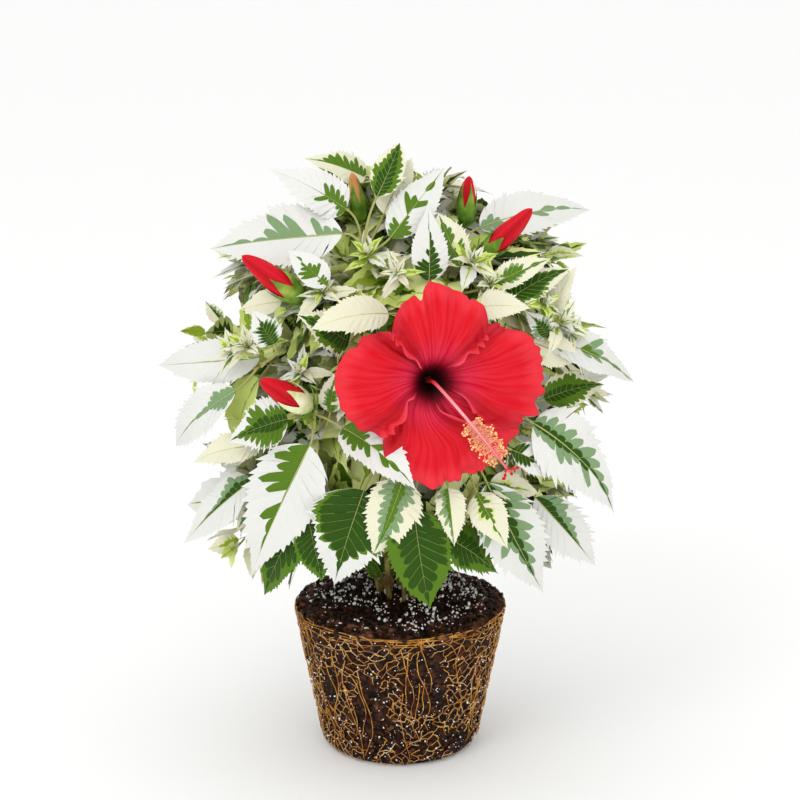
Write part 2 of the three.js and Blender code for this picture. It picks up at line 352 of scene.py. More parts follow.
def grain(tree, scale, detail, depth):
    made = node(tree, "ShaderNodeGroup", node_tree=fineGrain)
    feed(tree, made, {"Scale": scale, "Detail": detail, "Depth": depth})
    return made.outputs["Value"], made.outputs["Normal"]


def between(tree, value, low, high):
    # noise mostly lies from 0.3 to 0.7, which is spread out from low to high
    spread = {"Value": value, "From Min": 0.3, "From Max": 0.7, "To Min": low, "To Max": high}
    return node(tree, "ShaderNodeMapRange", spread).outputs["Result"]


def leafFinish(name, colour, low, high, depth, shine=0.12):
    # one plain colour, gloss that comes and goes, and a fine pucker in the normal
    material, tree, shader = newMaterial(name, 0.5, shine)
    value, normal = grain(tree, 260, 2, depth)
    gloss = between(tree, value, low, high)
    feed(tree, shader, {"Base Color": (*colour, 1), "Roughness": gloss, "Normal": normal})
    return material


def stainFinish(name, stops, scale, low, high, depth):
    # noise picks the colour along a ramp, and sets gloss and relief
    material, tree, shader = newMaterial(name)
    value, normal = grain(tree, scale, 5, depth)
    gloss = between(tree, value, low, high)
    feed(tree, shader, {"Base Color": ramp(tree, value, stops), "Roughness": gloss, "Normal": normal})
    return material


def gradedFinish(name, stops, roughness):
    # colour by the piece's own share from foot to tip, broken by fine grain
    material, tree, shader = newMaterial(name, roughness)
    value, normal = grain(tree, 420, 3, 0.0002)
    share = calculate(tree, "MULTIPLY_ADD", value, 0.12, surfaceMap(tree)[1])
    gloss = between(tree, value, roughness - 0.08, roughness + 0.1)
    feed(tree, shader, {"Base Color": ramp(tree, share, stops), "Roughness": gloss, "Normal": normal})
    return material


# root ball: a tapered plug of bark soil, its crumbs, white grains and a net of roots

rootBall = {"topRadius": 85 * mm, "footRadius": 62 * mm, "height": 118 * mm, "sides": 260, "clods": 760,
            "rimClods": 420, "sideCrumbs": 2600, "whiteGrains": 1350, "sideGrains": 1250}

# radius and height from the middle of the foot to the middle of the top
ballProfile = np.array([(0, 0.4), (40, 0.4), (57.5, 0.6), (61, 3), (84, 111), (82, 116), (74, 118.4),
                        (60, 120.5), (38, 122.4), (0, 122.8)]) * mm


def ballSurface(share, turn):
    # radius and height by length along the plug's profile, share 0 at its start to 1 at its end
    length = np.concatenate([[0], np.cumsum(np.linalg.norm(np.diff(ballProfile, axis=0), axis=1))])
    radius, height = [np.interp(share, length / length[-1], ballProfile[:, part]) for part in (0, 1)]
    return polar(radius, turn, height)


def sidePoint(turn, height, proud=0.0):
    # a point on the plug's side wall, drawn in a little at the foot and the rim
    radius = blend(rootBall["footRadius"], rootBall["topRadius"], height / rootBall["height"])
    radius = radius - 2.2 * mm * (1 - ease(height, 0, 9 * mm)) - 1.6 * mm * ease(height, 112 * mm, 118 * mm)
    return polar(radius + proud, turn, height)


def mound(x, y):
    # height of the soil's top, lowest at the rim
    return np.interp(np.hypot(x, y) / mm, [0, 38, 67, 82], [122.8, 122.4, 118.8, 115.5]) * mm


def strewn(count, least, far):
    # places all over the top, out to the radius far, none nearer than the root of least as a share of it
    radius = np.sqrt(chance.uniform(least, 1, count)) * far * mm
    turn = chance.uniform(0, fullTurn, count)
    return radius, radius * np.cos(turn), radius * np.sin(turn)


soilStops = [(0.34, (0.003, 0.0015, 0.001)), (0.46, (0.012, 0.005, 0.003)), (0.58, (0.045, 0.016, 0.008)),
             (0.72, (0.085, 0.032, 0.016))]
clodStops = [(0.34, (0.006, 0.0024, 0.0012)), (0.46, (0.022, 0.008, 0.004)), (0.56, (0.080, 0.029, 0.014)),
             (0.70, (0.21, 0.088, 0.046))]
grainStops = [(0.3, (0.80, 0.77, 0.71)), (0.5, (0.98, 0.975, 0.96))]
soilFinish = stainFinish("darkSoil", soilStops, 210, 0.55, 0.9, 0.0006)
clodFinish = stainFinish("barkClods", clodStops, 120, 0.35, 0.75, 0.0004)
whiteFinish = stainFinish("whiteGrit", grainStops, 300, 0.6, 0.9, 0.0002)

# few rows under the foot, most up the side and over the top
shares = [np.linspace(0, 0.24, 14), np.linspace(0.25, 0.72, 84), np.linspace(0.725, 0.998, 60)]
turns = np.linspace(0, fullTurn, rootBall["sides"], endpoint=False)
soil = ballSurface(np.concatenate(shares)[:, None], turns[None, :])
outward = unit(soil - np.array([0, 0, 0.06]))
relief = (0.55 * softNoise(soil, 7 * mm, 1) + 0.45 * softNoise(soil, 3 * mm, 2)) * 1.5 * mm - 1.3 * mm
relief = relief * ease(soil[..., 2], 0, 4 * mm)
soil = soil + outward * relief[..., None]
soilPoles = np.array([[0, 0, 0.4 * mm], [0, 0, 121.6 * mm]])
soilHeap, clodHeap, grainHeap = [], [], []
pile(soilHeap, np.concatenate([soil.reshape(-1, 3), soilPoles]), ballTriangles(*soil.shape[:2]))

chance = np.random.default_rng(11)
for count, near, far, least, most, heap in ((rootBall["clods"], 4, 72, 1.4, 3.0, soilHeap),
                                            (rootBall["rimClods"], 62, 82.5, 2.3, 4.3, clodHeap)):
    radius, x, y = strewn(count, (near / far) ** 2, far)
    size = chance.uniform(least, most, (count, 1)) * mm
    centre = np.stack([x, y, mound(x, y) - 0.25 * size[:, 0]], -1)
    sizes = size * chance.uniform([0.8, 0.75, 0.55], [1.2, 1.1, 0.95], (count, 3))
    layLumps(heap, centre, sizes, 0.15, 12, 4, 8)
pieceFrom("soilBody", soilHeap, soilFinish, ["root_ball"])
count = rootBall["sideCrumbs"]
turn = chance.uniform(0, fullTurn, count)
nearRim, anywhere = chance.uniform(104, 117, count), chance.uniform(3, 116, count)
height = np.where(np.arange(count) % 5 == 0, nearRim, anywhere) * mm
size = chance.uniform(0.9, 2.3, (count, 1)) * mm
centre = sidePoint(turn, height, -1.1 * mm - 0.3 * size[:, 0])
layLumps(clodHeap, centre, size * chance.uniform(0.6, 1.2, (count, 3)), 0.2, 13, 3, 5)
pieceFrom("soilClods", clodHeap, clodFinish)

# white grains: in clumps on the top, fewer towards the rim, and fine ones down the side
count = rootBall["whiteGrains"]
radius, x, y = strewn(count, 0.01, 79)
clump = softNoise(np.stack([x, y, 0 * x], -1), 11 * mm, 14) + chance.uniform(-0.5, 0.5, count) > -0.12
clump = clump & (chance.uniform(0, 1, count) > 0.55 * ease(radius, 60 * mm, 76 * mm))
size = (0.45 + 1.3 * chance.uniform(0, 1, (count, 1)) ** 2.6) * mm
centre = np.stack([x, y, mound(x, y) + chance.uniform(1.0, 2.4, count) * mm], -1)
sizes = size * chance.uniform([0.7, 0.5, 0.35], [1.7, 1.1, 0.8], (count, 3))
layLumps(grainHeap, centre[clump], sizes[clump], 0.42, 15, 3, 6)
count = rootBall["sideGrains"]
turn = chance.uniform(0, fullTurn, count)
height = chance.uniform(4, 116, count) * mm
size = (0.26 + 0.6 * chance.uniform(0, 1, (count, 1)) ** 2) * mm
sizes = size * chance.uniform(0.6, 1.2, (count, 3))
layLumps(grainHeap, sidePoint(turn, height, 0.1 * mm), sizes, 0.25, 16, 2, 5)
pieceFrom("whiteGrains", grainHeap, whiteFinish)


# roots: a net of uneven cells on the unrolled side, denser near the top and along upright runs

rootNet = {"columns": 114, "rows": 24, "low": 3.0, "high": 114.0, "radius": 0.36, "wander": 0.22,
           "unrolled": 75 * mm, "kept": 0.88, "pale": 0.42, "longRuns": 62, "rimArcs": 17,
           # middles of bare patches in pixels, and their half widths and half heights
           "bare": {(370, 716): (17, 30), (426, 684): (20, 31), (330, 690): (7, 20), (455, 742): (12, 10)}}
netRadius = rootNet["unrolled"]

rootStops = [(0.32, (0.26, 0.085, 0.018)), (0.50, (0.52, 0.22, 0.035)), (0.70, (0.74, 0.42, 0.09))]
paleStops = [(0.32, (0.50, 0.22, 0.07)), (0.52, (0.68, 0.42, 0.19)), (0.70, (0.80, 0.66, 0.45))]
rootFinish = stainFinish("tanRoots", rootStops, 130, 0.45, 0.7, 0.0002)
paleFinish = stainFinish("paleRoots", paleStops, 130, 0.45, 0.7, 0.0002)


def rootPaths(starts, ends, steps, bow, seed):
    # a root from one (turn, height) to another, bowed sideways by half a sine wave and a wobble
    chance = np.random.default_rng(seed)
    share = np.linspace(0, 1, steps)
    line = starts[:, None] + (ends - starts)[:, None] * share[None, :, None]
    side = np.stack([-(ends - starts)[:, 1], (ends - starts)[:, 0]], -1)
    push = np.sin(share * math.pi) * chance.normal(0, bow, (len(starts), 1))
    push = push + np.sin(share * fullTurn) * chance.normal(0, bow * 0.5, (len(starts), 1))
    line = line + side[:, None] * push[..., None]
    height = np.clip(line[..., 1], 1.5 * mm, 116.5 * mm)
    proud = chance.uniform(-0.1, 0.9, (len(starts), 1)) * mm * np.ones(steps)
    return sidePoint(line[..., 0] / netRadius, height, proud - 0.2 * mm)


def wander(paths, reach, cell, seed):
    # moves the points by soft noise of their own along each axis
    return paths + reach * np.stack([softNoise(paths, cell, seed + axis) for axis in range(3)], -1)


def netNodes(columns, rows, seed):
    # hexagon corners on the unrolled side: every second column is half a cell up, all moved by chance
    chance = np.random.default_rng(seed)
    width = fullTurn * netRadius / columns
    rise = (rootNet["high"] - rootNet["low"]) * mm / rows
    column, row = np.meshgrid(np.arange(columns), np.arange(rows + 1), indexing="ij")
    step = np.where((column + row) % 2 == 0, 0.30, -0.30)
    place = np.stack([column * width, rootNet["low"] * mm + rise * (row + step)], -1)
    warp = polar(1.0, place[..., 0] / netRadius, place[..., 1] / (60 * mm))
    swirl = np.stack([softNoise(warp, 0.16, seed + 1), softNoise(warp, 0.16, seed + 2)], -1) * 1.1
    return place + (chance.normal(0, rootNet["wander"], place.shape) + swirl) * np.array([width, rise]), width


def bareness(place):
    # 1 where the soil shows with no net over it
    turn = place[:, 0] / netRadius
    bare = 0.8 * softNoise(polar(1.0, turn, place[:, 1] / (52 * mm)), 0.5, 21)
    bare = bare - 0.5 * ease(place[:, 1], 82 * mm, 108 * mm)
    bare = bare * np.where(np.sin(turn) < -0.35, 0.35, 1.0)
    px, py, _ = toPixel(sidePoint(turn, place[:, 1]))
    for (patchX, patchY), (wide, tall) in rootNet["bare"].items():
        inPatch = ((px - patchX) / wide) ** 2 + ((py - patchY) / tall) ** 2
        bare = bare + 1.3 * bell(inPatch, 0, 1) * (np.sin(turn) < 0)
    return bare


nodesAt, width = netNodes(rootNet["columns"], rootNet["rows"], 22)
columns, rows = nodesAt.shape[:2]
column, row = np.meshgrid(np.arange(columns), np.arange(rows), indexing="ij")
links = []
# a node half a step high is joined to the one above it, and every node to the next one round
for turnStep, rise in ((1, 0), (0, 1)):
    inside = (row + rise < rows) & ((turnStep == 1) | ((column + row) % 2 == 0))
    start = nodesAt[column[inside], row[inside]]
    end = nodesAt[(column[inside] + turnStep) % columns, row[inside] + rise].copy()
    end[:, 0] += (column[inside] + turnStep >= columns) * columns * width
    links.append(np.concatenate([start, end], 1))
links = np.concatenate(links)
chance = np.random.default_rng(23)
isNet = bareness((links[:, :2] + links[:, 2:]) / 2) + chance.uniform(-0.3, 0.3, len(links)) < 0.30
links = links[isNet & (chance.uniform(0, 1, len(links)) < rootNet["kept"])]
paths = rootPaths(links[:, :2], links[:, 2:], 4, 0.07, 24)
radii = chance.uniform(0.55, 1.2, (len(paths), 1)) * rootNet["radius"] * mm * np.ones(4)
isPale = chance.uniform(0, 1, len(paths)) < rootNet["pale"]
netHeap, paleHeap = [], []
layTubes(netHeap, paths[~isPale], radii[~isPale], 4)
layTubes(paleHeap, paths[isPale], radii[isPale] * 0.85, 4)

# long runs: roots that wander down the side, and loose arcs of them just under the rim
count = rootNet["longRuns"]
runTurn, runHeight = chance.uniform(0, fullTurn, count), chance.uniform(60, 116, count)
runStart = np.stack([runTurn * netRadius, runHeight * mm], -1)
runEnd = runStart + np.stack([chance.normal(0, 7, count) * mm, -chance.uniform(30, 105, count) * mm], -1)
runEnd[:, 1] = np.maximum(runEnd[:, 1], 2 * mm)
paths = wander(rootPaths(runStart, runEnd, 22, 0.09, 25), 0.9 * mm, 9 * mm, 31)
layTubes(netHeap, paths, np.linspace(0.42, 0.26, 22) * mm, 5)
count = rootNet["rimArcs"]
arcTurn, arcHeight = chance.uniform(0, fullTurn, count), chance.uniform(109, 116, count)
arcStart = np.stack([arcTurn * netRadius, arcHeight * mm], -1)
arcWay = np.stack([chance.uniform(26, 80, count), chance.normal(0, 3.5, count)], -1) * mm
paths = wander(rootPaths(arcStart, arcStart + arcWay, 26, 0.035, 27), 0.7 * mm, 8 * mm, 34)
layTubes(netHeap, paths, np.linspace(0.40, 0.26, 26) * mm, 5)

# rim roots: loops that run once round just under the rim, crossing one another
rimTurn = np.linspace(0, fullTurn * 1.01, 150)
onRing = polar(1.0, rimTurn, 0.0)
for number, (height, thick) in enumerate(((115.4, 0.36), (113.4, 0.28), (109.5, 0.24))):
    sway = softNoise(onRing, 0.22, 50 + number) * (1.3 + 0.8 * number) * mm
    sway = sway + softNoise(onRing, 0.07, 60 + number) * 0.5 * mm
    loop = sidePoint(rimTurn, np.minimum(height * mm + sway, 116.4 * mm), 0.35 * mm)
    layTubes(netHeap, loop[None], thick * mm, 5)
pieceFrom("rootNet", netHeap, rootFinish)
pieceFrom("paleRoots", paleHeap, paleFinish)


# canes and boughs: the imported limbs' own lines, with bark over them

limbs = {"ridge": 0.22 * mm, "knot": 0.55 * mm, "steps": 64, "sides": 12,
         # radius at foot and end in millimetres, and how many knots
         "cane": (2.2, 1.7, 13), "bough": (2.1, 1.5, 7)}

masses = sorted(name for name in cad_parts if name.startswith("foliage_"))
limbNodes = sorted(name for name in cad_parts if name.startswith(("cane_", "bough_")))


def nodeMesh(name):
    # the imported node's points and triangles
    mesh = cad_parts[name].data
    flat = np.empty(len(mesh.vertices) * 3, np.float32)
    mesh.vertices.foreach_get("co", flat)
    corners = np.empty(len(mesh.loops), np.int32)
    mesh.loops.foreach_get("vertex_index", corners)
    return flat.reshape(-1, 3).astype(float), corners.reshape(-1, 3)


def limbPath(name, steps):
    # the limb's middle line: x and y as smooth cubics of height through its own points
    points = nodeMesh(name)[0]
    height = points[:, 2]
    middle, span = height.mean(), np.ptp(height)
    level = np.linspace(height.min(), height.max(), steps)
    lines = [np.polyval(np.polyfit((height - middle) / span, points[:, axis], 3), (level - middle) / span)
             for axis in (0, 1)]
    return np.stack([*lines, level], -1)


limbPaths = {name: limbPath(name, limbs["steps"]) for name in limbNodes}

barkStops = [(0.30, (0.085, 0.038, 0.012)), (0.45, (0.15, 0.095, 0.028)), (0.6, (0.23, 0.18, 0.045)),
             (0.74, (0.30, 0.28, 0.08))]
barkFinish = stainFinish("oliveBark", barkStops, 90, 0.45, 0.75, 0.0003)

barkHeap = []
for number, (name, path) in enumerate(limbPaths.items()):
    thick, thin, knots = limbs[name.split("_")[0]]
    reach = np.linspace(0, 1, limbs["steps"])
    joint = (reach * knots + 0.37 * number) % 1
    radii = blend(thick, thin, reach) * mm + limbs["knot"] * bell(joint, 0.5, 0.11) * (reach > 0.06)
    points, faces = tubes(path[None], radii[None], limbs["sides"])
    middle = np.concatenate([np.repeat(path, limbs["sides"], 0), path[:1], path[-1:]])
    rough = softNoise(points[0] * np.array([1, 1, 0.25]), 1.6 * mm, 31) * limbs["ridge"]
    pile(barkHeap, points[0] + unit(points[0] - middle) * rough[:, None], faces)

# young shoots beside the canes: each leaves the soil in their ring and leans out into the lower leaves
shoots = {"count": 9, "foot": 15 * mm, "spread": 50 * mm, "low": 121 * mm, "top": 238 * mm, "thick": 1.7,
          "thin": 1.0, "knot": 0.35, "knots": 6}
chance = np.random.default_rng(35)
turn = (np.arange(shoots["count"]) * goldenTurn + chance.uniform(0, 0.6, shoots["count"]))[:, None]
share = np.linspace(0, 1, 24)[None, :]
out = blend(shoots["foot"], shoots["spread"] * chance.uniform(0.7, 1.2, turn.shape), share ** 1.4)
sway = 2.5 * mm * np.sin(share * 5 + turn * 3)
rise = blend(shoots["low"], shoots["top"] * chance.uniform(0.85, 1.05, turn.shape), share)
paths = polar(out, turn, rise) + np.stack([sway, -sway, 0 * sway], -1)
knot = shoots["knot"] * bell((share * shoots["knots"] + 0.3 * turn) % 1, 0.5, 0.12)
layTubes(barkHeap, paths, (blend(shoots["thick"], shoots["thin"], share) + knot) * mm, 7)
pieceFrom("barkLimbs", barkHeap, barkFinish, limbNodes)


# open bloom: five broad petals round a dark throat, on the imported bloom's own axis

bloom = {"throat": (0.020, -0.134, 0.334), "axis": (0.27, -0.96, 0.05), "radius": 79.0, "claw": 3.0,
         "cup": 26.0, "flare": 15.0, "recurve": 7.0, "levelStep": 4.2, "clawAngle": 40.0, "fanAngle": 46.0,
         "ruffle": 4.6, "crimp": 1.7, "frill": 4.2, "thickness": 0.6 * mm, "rows": 60, "columns": 118}

# each petal: its number round the throat, the angle it leans to, its level, its share of the full reach,
# which of its two edges lie free over a neighbour, and dents in its rim as (place, depth, width)
petalPlan = {
    "petal_top": (0, 87.0, 1, 0.90, (1, 1),
                  [(-0.31, 0.11, 0.06), (-0.14, -0.055, 0.07), (0.02, 0.02, 0.06), (0.40, 0.035, 0.06)]),
    "petal_left": (1, 174.0, 0, 0.93, (1, 0), [(0.5, 0.05, 0.06), (-0.42, 0.04, 0.05)]),
    "petal_lower_left": (2, 267.0, -1, 0.94, (1, 0), [(0.62, 0.05, 0.08), (-0.8, 0.11, 0.26)]),
    "petal_lower_right": (3, 314.0, -2, 0.97, (0, 0), [(0.1, 0.05, 0.08)]),
    "petal_right": (4, 366.0, 0, 1.05, (0, 1),
                    [(-0.28, 0.04, 0.05), (-0.70, 0.12, 0.32), (0.2, 0.05, 0.06), (0.62, 0.04, 0.05)])}

throat = np.array(bloom["throat"])
bloomAxis = unit(np.array(bloom["axis"]))
bloomRight = unit(np.cross(upright, bloomAxis))
bloomUp = np.cross(bloomAxis, bloomRight)


def petalGrid(index, angle, level, reach, free, dents, seed):
    # along runs from claw to rim and sideways from edge to edge: the angle fans out as along grows,
    # the height follows a cup that flares flat and bends back; ruffles grow with the fourth power of along,
    # dents are bell curves taken from the reach, and a free edge rises in a crimped frill near the throat
    along = np.linspace(0, 1, bloom["rows"])[:, None]
    sideways = np.linspace(-1, 1, bloom["columns"])[None, :]
    edge = np.abs(sideways)
    waves = np.random.default_rng(seed).uniform(-1, 1, (4, 2))
    wobble = sum(np.sin(sideways * (3.1 + 2.3 * k) + start * 6) * (0.5 + 0.5 * size) / (1 + 0.35 * k)
                 for k, (start, size) in enumerate(waves))
    scallop = np.sin(sideways * 15 + 2.1 * np.sin(sideways * 4 + waves[0, 0] * 3))
    crimp = np.sin(sideways * 41 + 2.5 * np.sin(sideways * 9 + waves[1, 0] * 3)) * (0.6 + 0.4 * wobble)
    rounding = reach * (1 - 0.33 * edge ** 2.3)
    rounding = rounding * (1 + 0.020 * scallop + 0.018 * wobble + 0.013 * crimp)
    for place, depth, wide in dents:
        rounding = rounding * (1 - depth * bell(sideways, place, wide))
    radius = blend(bloom["claw"], bloom["radius"], along * (1 - along * (1 - rounding)))
    spread = ease(along, 0.05, 0.62)
    nearRim = ease(along, 0.75, 1.0)
    frill = np.sin(along * 25 + waves[2, 0] * 3 + 1.6 * np.sin(along * 8 + sideways)) * ease(along, 0.12, 0.3)
    turn = blend(90 + 72 * index, angle, spread)
    turn = turn - sideways * blend(bloom["clawAngle"], bloom["fanAngle"], spread)
    turn = np.radians(turn - np.sign(sideways) * frill * 2.3 * edge ** 7 * (1 - nearRim))
    height = bloom["cup"] * (1 - np.exp(-(radius - bloom["claw"]) / bloom["flare"]))
    height = height - bloom["recurve"] * (radius / bloom["radius"]) ** 3
    height = height + level * bloom["levelStep"] * ease(along, 0, 0.35)
    ruffle = 0.6 * scallop + 0.6 * wobble * edge ** 0.5
    rimward = np.maximum(along ** 3.5, ease(along, 0.25, 0.8) * edge ** 5)
    height = height + bloom["ruffle"] * ruffle * rimward + bloom["crimp"] * crimp * along ** 8
    isFree = np.where(sideways < 0, free[0], free[1])
    rise = ease(along, 0.10, 0.26) * (1 - ease(along, 0.45, 0.9))
    height = height + bloom["frill"] * rise * isFree * edge ** 6
    frill = frill * (0.3 + 0.7 * isFree) * (1 - ease(along, 0.85, 1.0))
    height = height + 1.5 * bloom["crimp"] * frill * edge ** 7
    crease = np.sin(sideways * 11 + 0.4 * np.sin(along * 5)) * 0.6 + np.sin(sideways * 27 + wobble) * 0.3
    height = height + crease * 1.15 * ease(along, 0.12, 0.45) * (1 - nearRim * 0.4)
    place = throat + mm * (radius * np.cos(turn))[..., None] * bloomRight
    place = place + mm * (radius * np.sin(turn))[..., None] * bloomUp + mm * height[..., None] * bloomAxis
    return place, np.stack(np.broadcast_arrays(0.5 + sideways / 2, along), -1)


def petalFinish():
    # scarlet that turns crimson then near black at the throat, with veins that fan out along the petal
    material, tree, shader = newMaterial("scarletPetal", 0.5, 0.1)
    sideways, along, uv = surfaceMap(tree)
    stretched = node(tree, "ShaderNodeMapping", {"Vector": uv, "Scale": (30, 1.7, 1)}).outputs["Vector"]
    streak = node(tree, "ShaderNodeTexNoise", {"Vector": stretched, "Scale": 1, "Detail": 3},
                  noise_dimensions="2D").outputs["Fac"]
    base = ramp(tree, calculate(tree, "MULTIPLY_ADD", streak, 0.16, along), [
        (0.06, (0.006, 0.0, 0.0005)), (0.15, (0.014, 0.0, 0.001)), (0.20, (0.08, 0.0, 0.004)),
        (0.27, (0.34, 0.001, 0.022)), (0.36, (0.53, 0.002, 0.036)), (0.55, (0.58, 0.001, 0.009)),
        (0.86, (0.62, 0.004, 0.013)), (1.0, (0.70, 0.026, 0.040))])
    veins = ramp(tree, streak, [(0.36, (0, 0, 0)), (0.62, (1, 1, 1))])
    reach = ramp(tree, along, [(0.15, (0, 0, 0)), (0.26, (1, 1, 1)), (0.5, (0.5, 0.5, 0.5)),
                               (1.0, (0.3, 0.3, 0.3))])
    faint = calculate(tree, "MULTIPLY", calculate(tree, "MULTIPLY", veins, reach), 0.42)
    veined = mixture(tree, "MIX", faint, base, (0.78, 0.060, 0.090, 1))
    # painted shade: a deeper band beside each edge, where a neighbour shades it, then a lighter rim that is a
    # painted highlight
    apart = calculate(tree, "ABSOLUTE", calculate(tree, "SUBTRACT", sideways, 0.5))
    shade = ramp(tree, apart, [(0.26, (1, 1, 1)), (0.40, (0.66, 0.5, 0.6)), (0.45, (0.75, 0.6, 0.7)),
                               (0.475, (1, 1, 1))])
    rimHighlight = ramp(tree, apart, [(0.455, (0, 0, 0)), (0.49, (0.75, 0.75, 0.75))])
    deepened = mixture(tree, "MULTIPLY", 1, veined, shade)
    rimHighlighted = mixture(tree, "MIX", calculate(tree, "MULTIPLY", rimHighlight, reach), deepened, (0.88, 0.10, 0.14, 1))
    bump = node(tree, "ShaderNodeBump", {"Strength": 0.5, "Distance": 0.0006, "Height": streak})
    gloss = between(tree, streak, 0.42, 0.6)
    feed(tree, shader, {"Base Color": rimHighlighted, "Roughness": gloss, "Normal": bump.outputs["Normal"]})
    return material


petalRed = petalFinish()
petalGrids = []
for number, (name, plan) in enumerate(petalPlan.items()):
    grid, uv = petalGrid(*plan, 40 + number)
    petalGrids.append(grid)
    petalHeap = []
    pile(petalHeap, grid, gridTriangles(*grid.shape[:2]))
    pieceName = "petal" + name.removeprefix("petal").title().replace("_", "")
    petal = pieceFrom(pieceName, petalHeap, petalRed, [name], uv.reshape(-1, 2))
    wall = petal.modifiers.new("petalWall", "SOLIDIFY")
    wall.thickness = bloom["thickness"]
    wall.offset = 0


# column: a long style in a tube of stamens, its anthers a loose brush, five red pads at its tip

column = {"tip": (0.076, -0.205, 0.286), "radius": 1.2 * mm, "brushLow": 0.63, "brushHigh": 0.90, "steps": 80,
          "anthers": 240, "filament": 9.4 * mm, "pads": 5, "padArm": 7.0 * mm}


def curvePoints(points, steps):
    # a smooth curve through the points: the usual cubic between each pair, ends repeated
    points = np.array(points, float)
    wide = np.concatenate([2 * points[:1] - points[1:2], points, 2 * points[-1:] - points[-2:-1]])
    place = np.linspace(0, len(points) - 1, steps)
    at = np.minimum(place.astype(int), len(points) - 2)
    t = (place - at)[:, None]
    p0, p1, p2, p3 = [wide[at + k] for k in range(4)]
    return 0.5 * (2 * p1 + (p2 - p0) * t + (2 * p0 - 5 * p1 + 4 * p2 - p3) * t ** 2
                  + (3 * p1 - p0 - 3 * p2 + p3) * t ** 3)


tip = np.array(column["tip"])
straightEnd = throat + 26 * mm * bloomAxis
columnLine = curvePoints([throat - 0.5 * mm * bloomAxis, straightEnd,
                          blend(straightEnd, tip, 0.45) + 9 * mm * bloomAxis, tip], column["steps"])

rodHeap = []
rodStops = [(0.08, (0.35, 0.004, 0.010)), (0.28, (0.66, 0.010, 0.020)), (0.40, (0.80, 0.13, 0.16)),
            (0.60, (0.88, 0.38, 0.40)), (1.0, (0.80, 0.14, 0.16))]
reach = np.linspace(0, 1, column["steps"])
rodRadii = column["radius"] * (1.25 - 0.6 * reach + 0.25 * bell(reach, 0, 0.08))
layTubes(rodHeap, columnLine[None], rodRadii[None], 12)
rodUv = np.concatenate([np.repeat(reach, 12), [0, 1]])
rodUv = np.stack([rodUv * 0 + 0.5, rodUv], -1)
pieceFrom("styleRod", rodHeap, gradedFinish("pinkStyle", rodStops, 0.4), ["stamen_column"], rodUv)

# stamen threads: each leaves the rod at its own turn, but none stands before it as the camera sees it
chance = np.random.default_rng(51)
count = column["anthers"]
columnWay = unit(np.gradient(columnLine, axis=0))
sideA = across(np.broadcast_to(upright, columnWay.shape), columnWay)
sideB = np.cross(columnWay, sideA)
place = np.sort(chance.uniform(column["brushLow"], column["brushHigh"], count))
at = (place * (column["steps"] - 1)).astype(int)
spin = np.arange(count) * goldenTurn + chance.normal(0, 0.25, count)
out = swing(sideA[at], sideB[at], spin[:, None])
isBefore = out @ unit(cameraEye - columnLine[60]) > 0.6
out = np.where(isBefore[:, None], -out, out)
brushShare = (place - column["brushLow"]) / (column["brushHigh"] - column["brushLow"])
bulge = np.sin(brushShare * math.pi) ** 0.5
length = column["filament"] * (0.55 + 0.5 * bulge) * chance.uniform(0.75, 1.12, count)
share = np.linspace(0, 1, 6)[None, :, None]
lean = columnWay[at] * chance.normal(0.25, 0.3, (count, 1))
threads = (out[:, None] * share + lean[:, None] * share ** 2) * length[:, None, None]
threads = columnLine[at][:, None] + threads
threadHeap, antherHeap, padHeap = [], [], []
layTubes(threadHeap, threads, np.linspace(0.22, 0.13, 6) * mm, 4)
threadStops = [(0.3, (0.86, 0.25, 0.16)), (0.65, (0.92, 0.50, 0.32))]
coral = stainFinish("coralThreads", threadStops, 200, 0.4, 0.6, 0.0001)
pieceFrom("stamenThreads", threadHeap, coral)
sizes = np.array([0.82, 0.68, 0.56]) * mm * chance.uniform(0.8, 1.25, (count, 1))
layLumps(antherHeap, threads[:, -1], sizes, 0.12, 52, 3, 7)
antherStops = [(0.3, (0.92, 0.34, 0.11)), (0.5, (0.96, 0.58, 0.22)), (0.7, (0.98, 0.80, 0.42))]
pieceFrom("anthers", antherHeap, stainFinish("goldAnthers", antherStops, 240, 0.6, 0.85, 0.0002))

# five arms with a velvety pad each, spread from the column's tip
count = column["pads"]
spin = np.arange(count) * fullTurn / count + 0.4
out = swing(sideA[-1], sideB[-1], spin[:, None])
share = np.linspace(0, 1, 7)[None, :, None]
arms = (out[:, None] * share ** 1.2 * 0.9 + columnWay[-1] * share * 0.6) * column["padArm"]
arms = columnLine[-1] - columnWay[-1] * 4 * mm + arms
layTubes(padHeap, arms, np.linspace(0.5, 0.36, 7) * mm, 6)
layLumps(padHeap, arms[:, -1], np.array([[1.4, 1.3, 1.05]]) * mm * np.ones((count, 1)), 0.08, 53, 7, 12)
padStops = [(0.3, (0.45, 0.003, 0.008)), (0.6, (0.75, 0.012, 0.02))]
pieceFrom("stigmaPads", padHeap, stainFinish("redPads", padStops, 320, 0.5, 0.75, 0.0003))


# buds: a red spindle of furled petals in a green cup of five lobes, with a frill of thin bracts below

# each bud's foot and tip in millimetres, half its greatest width, how much of it its cup covers, and in which
# of the two greens
budPlan = {"leftHigh": ((-70, -92, 383), (-114, -102, 418), 9.6, 0.56, "green"),
           "leftLow": ((-64, -128, 311), (-99, -150, 338), 9.5, 0.66, "pale"),
           "rightHigh": ((62, -60, 409), (97, -66, 446), 8.6, 0.46, "green"),
           "topRed": ((49, -20, 426), (52, -22, 463), 7.2, 0.88, "green"),
           "topPeach": ((-29, -24, 428), (-36, -30, 467), 6.2, 0.95, "green"),
           "backLeft": ((-58, 118, 330), (-72, 150, 356), 9.0, 0.42, "green"),
           "backRight": ((56, 124, 298), (70, 156, 324), 9.5, 0.40, "pale"),
           "backTop": ((8, 112, 374), (10, 144, 402), 7.5, 0.62, "green")}
bud = {"rows": 34, "sides": 40, "bracts": 9, "bractLength": 15.0, "cupRows": 15, "cupSides": 60, "lobes": 5}


